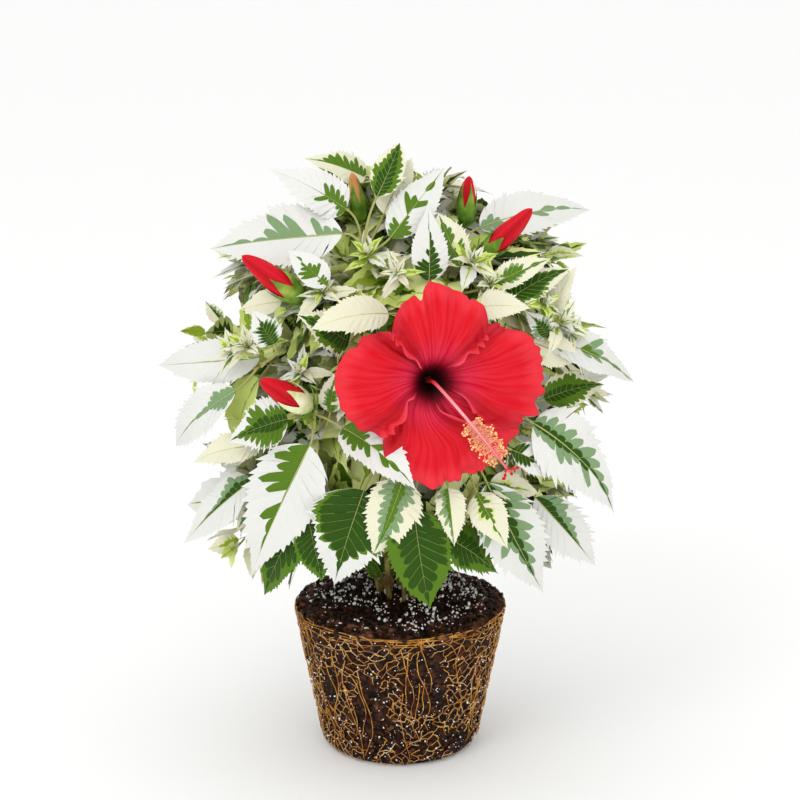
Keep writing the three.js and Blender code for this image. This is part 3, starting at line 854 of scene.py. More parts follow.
def frameAlong(way):
    # two directions square to way and to each other
    first = across(np.eye(3)[np.argmin(np.abs(way))], way)
    return first, np.cross(way, first)


def budWidth(share):
    # half width from foot to tip: quickly full, then slowly in to a blunt tip
    places = [0, 0.03, 0.10, 0.22, 0.38, 0.55, 0.72, 0.86, 0.94, 0.98, 1.0]
    widths = [0.0, 0.38, 0.68, 0.92, 1.0, 0.93, 0.76, 0.56, 0.38, 0.2, 0.02]
    fine = np.linspace(0, 1, 201)
    smooth = np.convolve(np.interp(fine, places, widths), np.ones(9) / 9, "same")
    smooth[:5] = np.linspace(0, smooth[5], 5)
    smooth[-5:] = np.linspace(smooth[-6], 0.02, 5)
    return np.interp(share, fine, smooth)


def rings(start, end, share, width, turn):
    # circles of this width round the line from start to end, at these shares of it
    first, second = frameAlong(unit(end - start))
    place = start + (end - start) * share[..., None]
    return place + (width * np.cos(turn))[..., None] * first + (width * np.sin(turn))[..., None] * second


def budShape(start, end, girth, seed, low=0.02, swell=0.93, furl=1.6):
    # a spindle of the bud's width with five spiral steps where petals overlap
    share = np.linspace(low, 1.0, bud["rows"])[:, None]
    turn = np.linspace(0, fullTurn, bud["sides"], endpoint=False)[None, :]
    spiral = turn * 5 + (share * furl + seed) * fullTurn
    step = np.sin(spiral + 0.7 * np.sin(spiral))
    width = budWidth(share) * girth * mm * swell * (1 + 0.07 * step * ease(share, 0.2, 0.5))
    return rings(start, end, share, width, turn)


def layCup(heap, start, end, girth, cup, turnStart):
    # the cup hugs the spindle a little proud of it; its rim rises and falls in pointed lobes
    up = np.linspace(0, 1, bud["cupRows"])[:, None]
    turn = np.linspace(0, fullTurn, bud["cupSides"], endpoint=False)[None, :]
    point = np.abs(((turn + turnStart) * bud["lobes"] / fullTurn) % 1 - 0.5) * 2
    share = 0.02 + up * (cup * (1.0 - 0.60 * point ** 0.75))
    width = budWidth(share) * girth * mm * 1.05 + 0.3 * mm
    width = width * (1 + 0.05 * np.cos(point * math.pi) * up)
    pile(heap, rings(start, end, share, width, turn), gridTriangles(bud["cupRows"], bud["cupSides"], True))


budHeap, peachHeap, greenCups, paleCups = [], [], [], []
budGrids, stalkEnds, budUv = [], [], []
for number, (name, (start, end, girth, cup, look)) in enumerate(budPlan.items()):
    start, end = np.array(start) * mm, np.array(end) * mm
    way = unit(end - start)
    grid = budShape(start, end, girth, 0.21 * number)
    poles = np.stack([start + (end - start) * 0.01, end + way * 0.4 * mm])
    pile(peachHeap if name == "topPeach" else budHeap, np.concatenate([grid.reshape(-1, 3), poles]),
         ballTriangles(bud["rows"], bud["sides"]))
    if name != "topPeach":
        # a bud takes its colours from the middle of a petal's length, and on two opposite sides the painted
        # shade of the petal's edge band
        around = np.abs(np.linspace(-1, 1, bud["sides"])) * 0.8 + 0.1
        up = np.linspace(0.34, 0.66, bud["rows"])
        budUv.append(np.stack(np.broadcast_arrays(around, up[:, None]), -1).reshape(-1, 2))
        budUv.append(np.array([[0.5, 0.34], [0.5, 0.66]]))
    cupHeap = greenCups if look == "green" else paleCups
    layCup(cupHeap, start, end, girth, cup, 0.7 * number)
    knob = start + way * np.array([[-3], [-1.5], [0.8]]) * mm
    layTubes(cupHeap, knob[None], np.array([1.0, 1.7, 2.4]) * mm * girth / 9, 12)
    spin = np.arange(bud["bracts"]) * fullTurn / bud["bracts"] + 0.3 * number
    out = swing(*frameAlong(way), spin[:, None])
    chance = np.random.default_rng(60 + number)
    share = np.linspace(0, 1, 8)[None, :, None]
    bracts = out[:, None] * (share * 0.95 + 0.1) + way * (share ** 2 * 0.8 - 0.08)
    bracts = bracts * chance.uniform(0.75, 1.1, (len(out), 1, 1)) * bud["bractLength"] * mm * girth / 10
    blades, faces = tubes(start + bracts, np.linspace(1.15, 0.2, 8) * mm, 5)
    pileMany(greenCups, blades, faces)
    stalkEnds.append((start - way * 3 * mm, way, girth))
    budGrids.extend([blades, grid])

# the open bloom's own cup, behind its petals
cupBack = throat - 0.9 * mm * bloomAxis
cupReach = 24 * mm * bloomAxis
layCup(greenCups, cupBack - cupReach, cupBack + cupReach, 7.6, 0.62, 0.3)
stalkEnds.append((cupBack - cupReach, bloomAxis, 8.0))
peachStops = [(0.3, (0.62, 0.16, 0.07)), (0.6, (0.66, 0.40, 0.13))]
paleCupStops = [(0.3, (0.44, 0.56, 0.16)), (0.5, (0.72, 0.75, 0.42)), (0.7, (0.86, 0.84, 0.66))]
greenCupStops = [(0.3, (0.06, 0.15, 0.015)), (0.5, (0.15, 0.28, 0.03)), (0.7, (0.34, 0.44, 0.08))]
pieceFrom("budPetals", budHeap, petalRed, (), np.concatenate(budUv))
pieceFrom("peachBud", peachHeap, stainFinish("budPeach", peachStops, 70, 0.4, 0.6, 0.0003))
pieceFrom("paleCups", paleCups, stainFinish("creamCup", paleCupStops, 90, 0.4, 0.6, 0.0003))
greenCup = stainFinish("greenCup", greenCupStops, 90, 0.4, 0.6, 0.0003)
pieceFrom("greenCups", greenCups, greenCup, ["bloom_calyx"])


# leaves: broad toothed blades, each green round its midrib and pale at its margin in its own way

# the buttery yellow-green among these colours is painted glow: light shining through leaves in shade
leafColours = {"white": (0.705, 0.71, 0.67), "cream": (0.73, 0.715, 0.535), "butterglow": (0.77, 0.83, 0.34),
               "lime": (0.58, 0.68, 0.18), "young": (0.29, 0.40, 0.035), "grey": (0.20, 0.31, 0.15),
               "green": (0.086, 0.180, 0.010), "dark": (0.024, 0.072, 0.003), "vein": (0.19, 0.30, 0.055)}
colourNumber = {name: number for number, name in enumerate(leafColours)}

# how far the green reaches from the midrib at base, middle and tip, how uneven it is, its share of gaps, then
# the colours from the midrib out
leafLooks = {
    "cream": (0.04, 0.04, 0.04, 0.05, 0.3, "grey lime cream"),
    "white": (0.10, 0.05, 0.03, 0.12, 0.4, "grey grey white"),
    "patch": (0.55, 0.42, 0.12, 0.45, 0.30, "dark grey white"),
    "creamPatch": (0.45, 0.35, 0.10, 0.40, 0.30, "green lime cream"),
    "base": (0.98, 0.35, 0.03, 0.22, 0.10, "dark grey white"),
    "centre": (0.60, 0.60, 0.30, 0.22, 0.05, "green grey cream"),
    "edge": (0.85, 0.82, 0.60, 0.12, 0.0, "dark green cream"),
    "green": (0.94, 0.84, 0.50, 0.22, 0.0, "dark green green"),
    "half": (0.75, 0.70, 0.50, 0.30, 0.1, "green grey cream"),
    "young": (0.85, 0.70, 0.50, 0.20, 0.1, "young young lime"),
    "bright": (0.50, 0.40, 0.20, 0.30, 0.2, "young lime cream"),
    "deepBase": (0.98, 0.72, 0.05, 0.30, 0.05, "dark grey white"),
    "greyBase": (0.85, 0.15, 0.03, 0.20, 0.10, "grey grey white"),
    "greyLobe": (0.45, 0.45, 0.10, 0.60, 0.45, "grey grey white"),
    "lobes": (0.70, 0.52, 0.16, 0.40, 0.32, "green green white"),
    "halfLobes": (0.85, 0.60, 0.10, 0.35, 0.30, "green green white"),
    "halfDark": (0.95, 0.45, 0.02, 0.15, 0.0, "dark grey white"),
    "broad": (0.82, 0.72, 0.30, 0.25, 0.05, "dark green white"),
    "halfGrey": (0.50, 0.62, 0.20, 0.45, 0.12, "grey grey white"),
    "darkBase": (0.98, 0.86, 0.0, 0.14, 0.0, "dark green white"),
    "broadLobes": (0.55, 0.66, 0.45, 0.40, 0.15, "dark grey white"),
    "midLobes": (0.35, 0.62, 0.40, 0.50, 0.22, "green grey white")}
halfLooks = ("half", "halfLobes", "halfDark", "halfGrey")


def leafGrid(leaf, chance, veins, perVein, splits, teeth=1):
    # cross-lines leave the midrib and slant forward to the margin; half width is e^a (1-e)^b; a tooth stands
    # at each side vein, leaning forward; the blade bends along an arc, folds up from its midrib and waves at
    # its margin
    def each(name):
        return leaf[name][:, None, None]
    count = len(leaf["length"])
    row = np.arange(veins * perVein + 1)
    u = (row % perVein) / perVein
    e = (row // perVein + u ** 1.5) / veins
    part = (u * teeth) % 1
    gain = np.where(part == 0, 1.0, part ** 1.2) * np.where((u > 0) & (u * teeth <= teeth - 1), 0.6, 1.0)
    nextVein = row // perVein + (u > 0)
    tooth = each("tooth") * chance.uniform(0.45, 1.35, (count, 2, veins + 1))[:, :, nextVein] * gain
    # q is the share of the half width at which the blade's columns stand, in three bands of colour a side
    reach = reachOf(leaf, veins, perVein, row, u, e, chance)
    stops = np.stack([0 * reach, reach * each("deep"), reach, 0 * reach + 1], -1)
    inner, outer = stops[..., :-1, None], stops[..., 1:, None]
    q = (inner + (outer - inner) * np.arange(splits) / splits).reshape(*reach.shape, -1)
    q = np.concatenate([q, np.ones((*reach.shape, 1))], -1)
    q = np.concatenate([q[:, 0, :, :0:-1], q[:, 1]], -1)
    columns = q.shape[-1] // 2
    sign = np.sign(np.arange(-columns, columns + 1))
    tooth = np.where(sign < 0, tooth[:, 0, :, None], tooth[:, 1, :, None])
    a, b = leaf["swell"][:, None], leaf["taper"][:, None]
    peak = (a / (a + b)) ** a * (b / (a + b)) ** b
    half = (leaf["width"][:, None] / 2 * e ** a * (1 - e) ** b / peak)[..., None]
    x = sign * q * half * (1 + tooth * q ** 2)
    middle = (e - leaf["slant"][:, None] * 4 * e ** 1.4 * (1 - e) ** 0.9)[..., None]
    y = middle + (e[:, None] + 1.9 * tooth / (veins * teeth) - middle) * q ** 1.15
    length = each("length")
    y = np.clip(y, 0, None) * length
    share = y / length
    k = each("droop") / length
    fold = each("fold") * (1 - 0.45 * share)
    rise = np.abs(x) * np.sin(fold) - each("curl") * half * q ** 3
    phase = each("phase") + np.where(sign < 0, 1.7, 0)
    rise = rise + each("wave") * half * q ** 2 * np.sin(share * 14 + phase)
    rise = rise + each("pucker") * half * np.sin(math.pi * u)[None, :, None] * q * (1 - q) * 4
    way, face = each("way"), each("face")
    side = np.cross(way, face)
    turned = swing(face, way, (k * y)[..., None])
    twist = (each("twist") * share)[..., None]
    sideNow = swing(side, turned, twist)
    faceNow = swing(turned, -side, twist)
    sway = (each("sway") * share ** 2 * length)[..., None]
    forward, drop = (np.sin(k * y) / k)[..., None], ((1 - np.cos(k * y)) / k)[..., None]
    points = each("base") + way * forward - face * drop + side * sway
    points = points + sideNow * (x * np.cos(fold))[..., None] + faceNow * rise[..., None]
    normals = np.cross(np.gradient(points, axis=2), np.gradient(points, axis=1))
    size = np.linalg.norm(normals, axis=-1, keepdims=True)
    normals = np.where(size > 1e-14, unit(normals), faceNow)
    return points, normals, leaf["palette"][:, np.repeat([2, 1, 0, 0, 1, 2], splits)]


def reachOf(leaf, veins, perVein, row, u, e, chance):
    # how far the green reaches at each row on each side: its look's own run from base to tip, uneven by vein
    look = leaf["look"]
    uneven, share = look[:, 3, None, None], look[:, 4, None, None]
    size = (len(look), 2, veins + 1)
    run = np.stack([np.interp(e, [0, 0.5, 1], stops) for stops in look[:, :3]])
    free = chance.uniform(-1.3, 1.3, size)
    lobes = 1 + uneven * (free + 0.5 * np.roll(free, 1, axis=2))
    gaps = (chance.uniform(0, 1, size) < share) & (np.arange(veins + 1) > veins // 4)
    lobes = np.clip(np.where(gaps, 0.06, lobes), 0.05, 1.9)
    here = np.minimum(row // perVein, veins)
    before = np.maximum(here - 1, 0)
    # a lobe is rounded between its veins; at a vein it meets its neighbour at the lesser of the two, drawn in
    # the more the look is uneven
    notch = np.clip(1.05 - 1.5 * uneven, 0.30, 1.0)
    notch = (notch + (1 - notch) * chance.uniform(-0.25, 1, size) ** 3)[:, :, here]
    lesser = np.minimum(lobes[:, :, before], lobes[:, :, here])
    inLobe = notch + (1.12 - notch) * np.sin(math.pi * u[None, None] ** 1.2) ** 0.65
    reach = run[:, None] * np.where(u == 0, lesser * notch, lobes[:, :, here] * inLobe)
    isBlank = leaf["oneSide"][:, None] == np.array([1, -1])
    return np.clip(np.where(isBlank[:, :, None], 0.03, reach), 0.02, 0.97)


def leafSet(count, chance):
    # chance shapes for so many leaves, to be changed by the caller
    limits = {"tooth": (0.14, 0.30), "swell": (0.48, 0.66), "taper": (1.0, 1.45), "slant": (0.20, 0.27),
              "droop": (0.25, 0.9), "fold": (0.05, 0.38), "curl": (-0.06, 0.16), "wave": (0.03, 0.12),
              "phase": (0, fullTurn), "pucker": (0.03, 0.08), "twist": (-0.35, 0.35), "sway": (-0.14, 0.14),
              "deep": (0.35, 0.95)}
    return {name: chance.uniform(low, high, count) for name, (low, high) in limits.items()}


def recolour(leaf, band, olds, new, chosen):
    # in the chosen leaves a band of one of the old colours takes the new one; band 0 lies at the midrib
    isOld = np.isin(leaf["palette"][:, band], [colourNumber[name] for name in olds])
    leaf["palette"][isOld & chosen, band] = colourNumber[new]


def giveLooks(leaf, names, chance, mixed=1.0):
    # a minus sign before a one-sided look puts its green on the other side; mixed lets some colours change
    side = np.array([-1 if name.startswith("-") else 1 for name in names])
    names = [name.lstrip("-") for name in names]
    leaf["look"] = np.array([leafLooks[name][:5] for name in names])
    words = [leafLooks[name][5].split() for name in names]
    leaf["palette"] = np.array([[colourNumber[word] for word in row] for row in words])
    leaf["oneSide"] = np.array([name in halfLooks for name in names]) * side
    swap = 0.5 + (chance.uniform(0, 1, len(names)) - 0.5) * mixed
    recolour(leaf, 0, ["dark"], "green", swap < 0.3)
    recolour(leaf, 2, ["white"], "cream", swap > 0.8)
    recolour(leaf, 2, ["cream"], "white", (swap > 0.7) & (swap < 0.8))


leafHeaps = {name: [] for name in leafColours}
ribHeap, stalkHeap, twigHeap = [], [], []


def layLeaves(points, normals, palette, ribs, ribSteps=4):
    # deals each blade's faces out to the pieces by colour, and lays a rib along each midrib
    rows, columns = points.shape[1:3]
    cell = gridTriangles(rows, columns).reshape(2, rows - 1, columns - 1, 3)
    for name, heap in leafHeaps.items():
        which, column = np.nonzero(palette == colourNumber[name])
        if len(which) > 0:
            faces = cell[:, :, column] + (which * rows * columns)[None, None, :, None]
            pile(heap, points, faces.reshape(-1, 3), normals)
    if ribs > 0:
        line = points[:, :, columns // 2] + normals[:, :, columns // 2] * 0.1 * mm
        thick = np.linalg.norm(line[:, -1] - line[:, 0], axis=-1)[:, None] * ribs
        steps = line[:, :: max(1, rows // ribSteps)]
        layTubes(ribHeap, steps, thick * np.linspace(1, 0.25, steps.shape[1]), 3)


def fanned(axis, spin, apart):
    # ways that lean from an axis by the angle apart, each turned round it by spin, and their part across it
    first = across(np.broadcast_to([0.13, 0.29, 0.95], axis.shape), axis)
    out = swing(first, np.cross(axis, first), spin)
    return unit(swing(axis, out, apart)), out


# the named leaves of the crown's near side: pixels of base and tip, width in pixels, depths in millimetres

namedLeaves = {
    "crestGreen": ((377, 197), (404, 145), 30, (-55, -20), "edge"),
    "crestPale": ((384, 214), (409, 158), 30, (-50, -14), "cream"),
    "crestArch": ((366, 178), (303, 161), 34, (-6, -2), "half"),
    "crestLeft": ((346, 209), (268, 170), 42, (-58, -50), "lobes"),
    "crestEdge": ((390, 238), (448, 171), 40, (-70, -30), "lobes"),
    "crestWhite": ((429, 281), (429, 205), 36, (-95, -60), "base"),
    "crestRight": ((461, 267), (437, 215), 32, (-85, -60), "centre"),
    "upperRight": ((480, 228), (591, 213), 50, (-36, 14), "greyLobe"),
    "upperLeft": ((343, 234), (211, 258), 62, (-75, -45), "halfGrey"),
    "leftUpper": ((327, 286), (290, 250), 30, (-108, -98), "lobes"),
    "leftInner": ((274, 344), (252, 311), 28, (-112, -104), "deepBase"),
    "leftHigh": ((260, 357), (160, 371), 42, (-90, -30), "white"),
    "besideLeft": ((389, 314), (311, 324), 38, (-122, -135), "cream"),
    "darkLeft": ((349, 342), (297, 319), 42, (-118, -128), "edge"),
    "besideRight": ((476, 308), (530, 308), 30, (-112, -120), "cream"),
    "rightMiddle": ((493, 285), (551, 261), 26, (-95, -85), "centre"),
    "darkRight": ((506, 302), (568, 269), 34, (-100, -75), "edge"),
    "rightNarrow": ((547, 320), (573, 264), 22, (-90, -70), "cream"),
    "rightCurve": ((543, 337), (633, 386), 46, (-95, -55), "midLobes"),
    "rightPucker": ((544, 399), (602, 380), 34, (-84, -58), "edge"),
    "rightInner": ((490, 483), (538, 494), 26, (-116, -104), "creamPatch"),
    "rightUnder": ((532, 342), (580, 364), 34, (-104, -92), "cream"),
    "rightBig": ((533, 423), (616, 506), 66, (-122, -85), "broadLobes"),
    "rightSmall": ((512, 450), (561, 478), 30, (-132, -128), "base"),
    "rightLow": ((535, 497), (596, 563), 42, (-95, -55), "-halfDark"),
    "rightFront": ((487, 483), (541, 592), 58, (-120, -70), "deepBase"),
    "frontGreen": ((414, 510), (423, 607), 62, (-138, -125), "green"),
    "frontGreenRight": ((446, 537), (498, 570), 42, (-122, -105), "green"),
    "frontCream": ((403, 479), (377, 555), 48, (-140, -138), "centre"),
    "frontLeft": ((364, 490), (331, 584), 76, (-132, -112), "darkBase"),
    "frontNarrow": ((448, 488), (452, 546), 28, (-134, -140), "half"),
    "pinkish": ((343, 428), (417, 483), 46, (-144, -173), "lobes"),
    "rightDark": ((549, 337), (527, 309), 22, (-104, -100), "deepBase"),
    "aboveBud": ((330, 412), (334, 371), 24, (-122, -128), "centre"),
    "rightCream": ((477, 493), (504, 551), 36, (-122, -125), "creamPatch"),
    "leftBig": ((310, 445), (247, 570), 70, (-132, -92), "halfLobes"),
    "leftGreenWhite": ((288, 419), (228, 437), 50, (-125, -118), "broad"),
    "leftWhite": ((236, 390), (178, 450), 40, (-95, -45), "greyBase"),
    "leftLow": ((253, 480), (184, 540), 42, (-100, -60), "halfDark"),
    "leftTiny": ((257, 498), (237, 531), 20, (-96, -88), "centre"),
    "leftSmall": ((260, 446), (194, 457), 30, (-108, -85), "cream"),
    "leftGreen": ((304, 514), (261, 590), 44, (-112, -82), "green"),
    "leftGreenInner": ((309, 522), (325, 580), 36, (-118, -108), "green"),
    "footMiddle": ((378, 578), (362, 547), 11, (-12, -22), "green"),
    "footInner": ((384, 572), (375, 542), 10, (-6, -12), "green")}
blade = {"veins": 10, "perVein": 6, "splits": 2, "teeth": 2}
chance = np.random.default_rng(71)
basePixels, tipPixels, widths, depths, looks = zip(*namedLeaves.values())
starts, tips = [np.array([fromPixel(pixel, depth[end] * mm) for pixel, depth in zip(pixels, depths)])
                for end, pixels in enumerate((basePixels, tipPixels))]
named = leafSet(len(looks), chance)
chord = unit(tips - starts)
facing = unit(cameraEye - starts) + 0.45 * upright + chance.normal(0, 0.16, starts.shape)
facing = across(facing, chord)
angle = named["droop"][:, None] / 2
named["base"] = starts
named["way"] = swing(chord, facing, angle)
named["face"] = swing(facing, -chord, angle)
named["length"] = np.linalg.norm(tips - starts, axis=-1) * angle[:, 0] / np.sin(angle[:, 0])
named["width"] = np.array(widths) * toPixel(starts)[2] / pixelsAway
giveLooks(named, looks, chance, 0.0)
for name, times in (("twist", 0.5), ("sway", 0.6), ("pucker", 0.5), ("tooth", 1.35)):
    named[name] *= times
isGreen = np.array(looks) == "green"
named["palette"][isGreen, 0] = colourNumber["dark"]
named["deep"][isGreen] = 0.92
named["pucker"][isGreen] *= 2.4
namedGrids = leafGrid(named, chance, **blade)
layLeaves(*namedGrids, 0.006, 8)

# their side veins, on the inner part of each side that is dark or green there
veinRows = np.arange(1, blade["veins"]) * blade["perVein"]
veinLines = namedGrids[0][:, veinRows] + namedGrids[1][:, veinRows] * 0.12 * mm
midrib = veinLines.shape[2] // 2
halves = np.stack([veinLines[:, :, midrib::-1], veinLines[:, :, midrib:]], 2)[..., :5, :]
isDeep = namedGrids[2][:, midrib] >= colourNumber["green"]
layTubes(leafHeaps["vein"], halves[isDeep].reshape(-1, 5, 3), np.linspace(0.28, 0.1, 5) * mm, 3)

# tufts: knots of young leaves round a growing tip, at these pixels, with depth and leaf length in millimetres

tuftPlan = {(246, 345): (-100, 19), (232, 352): (-94, 15), (561, 322): (-96, 18), (545, 304): (-97, 16),
            (472, 262): (-92, 18), (397, 273): (-104, 14), (321, 292): (-106, 16), (367, 254): (-84, 15),
            (491, 283): (-98, 14), (350, 398): (-122, 14), (300, 372): (-112, 15), (575, 332): (-86, 13)}
tuft = {"leaves": 11, "stalk": 0.9 * mm, "looks": "young bright young bright cream half centre"}
chance = np.random.default_rng(75)
k = np.tile(np.arange(tuft["leaves"]), len(tuftPlan))
heart = np.array([fromPixel(pixel, depth * mm) for pixel, (depth, _) in tuftPlan.items()])
tuftWay = heart * np.array([0.9, 0.9, 0]) + np.array([0, -0.03, 0.11])
tuftWay = unit(tuftWay + chance.normal(0, 0.012, heart.shape))
full = np.repeat([1.2 * size * mm for _, size in tuftPlan.values()], tuft["leaves"])
tuftLeaf = leafSet(len(k), chance)
tuftAxis = np.repeat(tuftWay, tuft["leaves"], 0)
spin = (k * goldenTurn + chance.normal(0, 0.2, len(k)))[:, None]
apart = np.radians(8 + 7.5 * k + chance.normal(0, 5, len(k)))[:, None]
way, out = fanned(tuftAxis, spin, apart)
tuftLeaf["way"] = way
tuftLeaf["face"] = across(tuftAxis * np.sin(apart) - out * np.cos(apart) + np.array([0, 0, 0.3]), way)
tuftLeaf["length"] = full * (0.45 + 0.075 * k) * chance.uniform(0.8, 1.2, len(k))
tuftLeaf["base"] = np.repeat(heart, tuft["leaves"], 0) - tuftAxis * (0.5 * mm * k)[:, None] + way * 0.8 * mm
tuftLeaf["width"] = tuftLeaf["length"] * chance.uniform(0.32, 0.46, len(k))
tuftLooks = np.array(tuft["looks"].split())
giveLooks(tuftLeaf, tuftLooks[chance.integers(0, len(tuftLooks), len(k))], chance)
tuftGrids = leafGrid(tuftLeaf, chance, 5, 2, 1)
layLeaves(*tuftGrids, 0.012)

# cover: for each 4 pixel square, how near the camera the bloom, buds and named leaves are

coverCell = 4
nothingNear = 9.0
cover = np.full((pictureSize // coverCell, pictureSize // coverCell), nothingNear)


def coverAt(px, py):
    # the row and column of the square that each pixel lies in
    return tuple(np.clip((part / coverCell).astype(int), 0, len(cover) - 1) for part in (py, px))


petalsBetween = [(grid[1:] + grid[:-1]) / 2 for grid in petalGrids]
leavesBetween = (namedGrids[0][:, 1:] + namedGrids[0][:, :-1]) / 2
for grid in [*petalGrids, *petalsBetween, *budGrids, columnLine, namedGrids[0], leavesBetween, tuftGrids[0]]:
    px, py, away = toPixel(grid.reshape(-1, 3))
    for right in (-2, 0, 2):
        for down in (-2, 0, 2):
            np.minimum.at(cover, coverAt(px + right, py + down), away)

# where no leaf hangs before the soil and the canes, and where the sky shows: left, right, top, foot pixels
openPlaces = [(296, 506, 562, 700), (342, 408, 546, 620)]
openSky = [(410, 470, 0, 167), (470, 520, 0, 185), (520, 640, 0, 202), (190, 300, 0, 236), (300, 400, 0, 160)]


def hides(points, slack):
    # true for each blade that has a point nearer the camera than what should be seen there
    px, py, away = toPixel(points)
    seen = cover[coverAt(px, py)]
    before = (seen < nothingNear) & (away < seen + slack)
    isFront = points[..., 1] < 60 * mm
    for places, reached in ((openPlaces, isFront), (openSky, True)):
        for left, right, top, foot in places:
            before = before | ((px > left) & (px < right) & (py > top) & (py < foot) & reached)
    return before.reshape(len(points), -1).any(1)


# growth: twigs fan out from each limb's end, and each ends in a rosette of leaves, smallest at its heart

growth = {"twigs": 20, "leaves": 12, "tufted": 0.36, "stopShort": 36 * mm, "proud": 7 * mm,
          "firstLeaf": 11 * mm, "step": 1.27, "longest": 72 * mm, "shortest": 7 * mm, "keepBack": -0.2}

# the masses as solids that rays can meet, each by itself and all together
chance = np.random.default_rng(81)
shell = {name: nodeMesh(name) for name in masses}
starts = np.cumsum([0] + [len(points) for points, _ in shell.values()])
allPoints = np.concatenate([points for points, _ in shell.values()])
allFaces = np.concatenate([faces + start for (_, faces), start in zip(shell.values(), starts)])
crownTree = BVHTree.FromPolygons(allPoints.tolist(), allFaces.tolist())
crownHeart = np.array([0, 0, 300 * mm])


def limbFor(name):
    # the limb whose end lies in this mass
    ring, number = name.split("_")[1:]
    if name == "foliage_crest_1":
        return "cane_6"
    return f"cane_{number}" if ring == "shoulder" else f"bough_{ring}_{number}"


twigPaths, tufted = [], []
for name in masses:
    points, faces = shell[name]
    tree = BVHTree.FromPolygons(points.tolist(), faces.tolist())
    path = limbPaths[limbFor(name)]
    tip = path[-1]
    limbWay = unit(tip - path[-8])
    massHeart = points.mean(0)
    outward = unit(unit(massHeart - tip) + unit(massHeart - crownHeart) * 0.8)
    number = np.arange(2 * growth["twigs"])
    lift = 1 - 2 * (number + 0.5) / len(number)
    ways = polar(np.sqrt(1 - lift ** 2), number * goldenTurn + chance.uniform(0, fullTurn), lift)
    ways = unit(ways + chance.normal(0, 0.12, ways.shape))
    for way in ways[ways @ outward > growth["keepBack"]]:
        hit = tree.ray_cast(Vector(tip), Vector(way))
        if hit[0] is None:
            continue
        isTufted = chance.uniform() < growth["tufted"] * ease(tip[2], 190 * mm, 260 * mm)
        short = growth["stopShort"] * (0.42 if isTufted else chance.uniform(0.75, 1.2))
        length = max(hit[3] - short, growth["shortest"])
        share = np.linspace(0, 1, 10)[:, None]
        bow = limbWay * 0.22 + (chance.normal(0, 0.08, 3) + np.array([0, 0, 0.10]))
        twigPaths.append(tip - limbWay * 2 * mm + length * (way * share + bow * share * (1 - share) * 2))
        tufted.append(isTufted)
twigPaths, tufted = np.array(twigPaths), np.array(tufted)
print("twigs", len(twigPaths))
layTubes(twigHeap, twigPaths, np.linspace(1.35, 0.75, 10) * mm, 5)
twigStops = [(0.3, (0.16, 0.10, 0.03)), (0.5, (0.26, 0.24, 0.07)), (0.7, (0.36, 0.38, 0.12))]
pieceFrom("twigs", twigHeap, stainFinish("youngTwig", twigStops, 110, 0.45, 0.7, 0.0002))

# rosettes: leaf k from the tip is 1.27 times as long as the one before, turned 137.5 degrees and more spread

twigCount = len(twigPaths)
k = np.arange(growth["leaves"])[None, :] * np.ones((twigCount, 1))
twigWay = unit(twigPaths[:, -1] - twigPaths[:, -3])[:, None]
twigLength = np.linalg.norm(twigPaths[:, -1] - twigPaths[:, 0], axis=-1)[:, None]
back = np.minimum((1.2 * k + 0.42 * k ** 2) * mm, twigLength * 0.95)
place = (1 - back / twigLength) * 9
low = np.clip(place.astype(int), 0, 8)
part = (place - low)[..., None]
twigIndex = np.arange(twigCount)[:, None]
leafNode = twigPaths[twigIndex, low] * (1 - part) + twigPaths[twigIndex, low + 1] * part
spin = k * goldenTurn + chance.uniform(0, fullTurn, (twigCount, 1)) + chance.normal(0, 0.2, k.shape)
apart = np.radians(np.clip(16 + 8.5 * k + chance.normal(0, 7, k.shape), 5, 88))[..., None]
outward = unit(leafNode - crownHeart)
way = unit(fanned(twigWay, spin[..., None], apart)[0] + outward * 0.25 + np.array([0, 0, -0.06]))
length = growth["firstLeaf"] * growth["step"] ** k * chance.uniform(0.78, 1.25, k.shape)
length = np.minimum(length, growth["longest"] * chance.uniform(0.75, 1.1, k.shape))
base = leafNode + way * np.clip(length * 0.24, 1.5 * mm, 16 * mm)[..., None]
# room from each leaf's base to the crown's surface, met by a ray that comes in from outside
farOut = 0.4
room = np.zeros(k.shape)
for index in np.ndindex(k.shape):
    hit = crownTree.ray_cast(Vector(base[index] + way[index] * farOut), Vector(-way[index]), farOut)
    room[index] = farOut - hit[3] if hit[0] is not None else 0
length = np.minimum(length, (room + growth["proud"]) * 1.04)
face = np.array([0, 0, 0.9]) + outward * 0.55 + twigWay * 0.45 + chance.normal(0, 0.22, way.shape)
face = across(face, way)
fits = length > growth["shortest"]
isYoung = (tufted[:, None] & (k < 7))[fits]
length, room = length[fits], room[fits]
print("leaves before thinning", len(length))

wild = leafSet(len(length), chance)
wild.update(base=base[fits], way=way[fits], face=face[fits], node=leafNode[fits], length=length)
wild["width"] = length * chance.uniform(0.44, 0.64, len(length))
wild["droop"] = chance.uniform(0.15, 0.55, len(length)) + 0.45 * ease(length, 25 * mm, 60 * mm)
lowness = ease(-wild["base"][:, 2], -330 * mm, -190 * mm)
inside = 1 - ease(np.linalg.norm(wild["base"][:, :2], axis=-1), 60 * mm, 120 * mm)

# how often each look is dealt out, to leaves round a tuft, to others under 22 mm, and to the rest
youngMix = {"young": 0.36, "bright": 0.36, "cream": 0.14, "half": 0.14}
smallMix = {"young": 0.18, "bright": 0.18, "cream": 0.16, "white": 0.06, "lobes": 0.14, "half": 0.10,
            "centre": 0.10, "patch": 0.08}
largeMix = {"white": 0.09, "cream": 0.10, "lobes": 0.22, "creamPatch": 0.10, "base": 0.13, "centre": 0.08,
            "halfLobes": 0.08, "edge": 0.08, "half": 0.06, "green": 0.06}


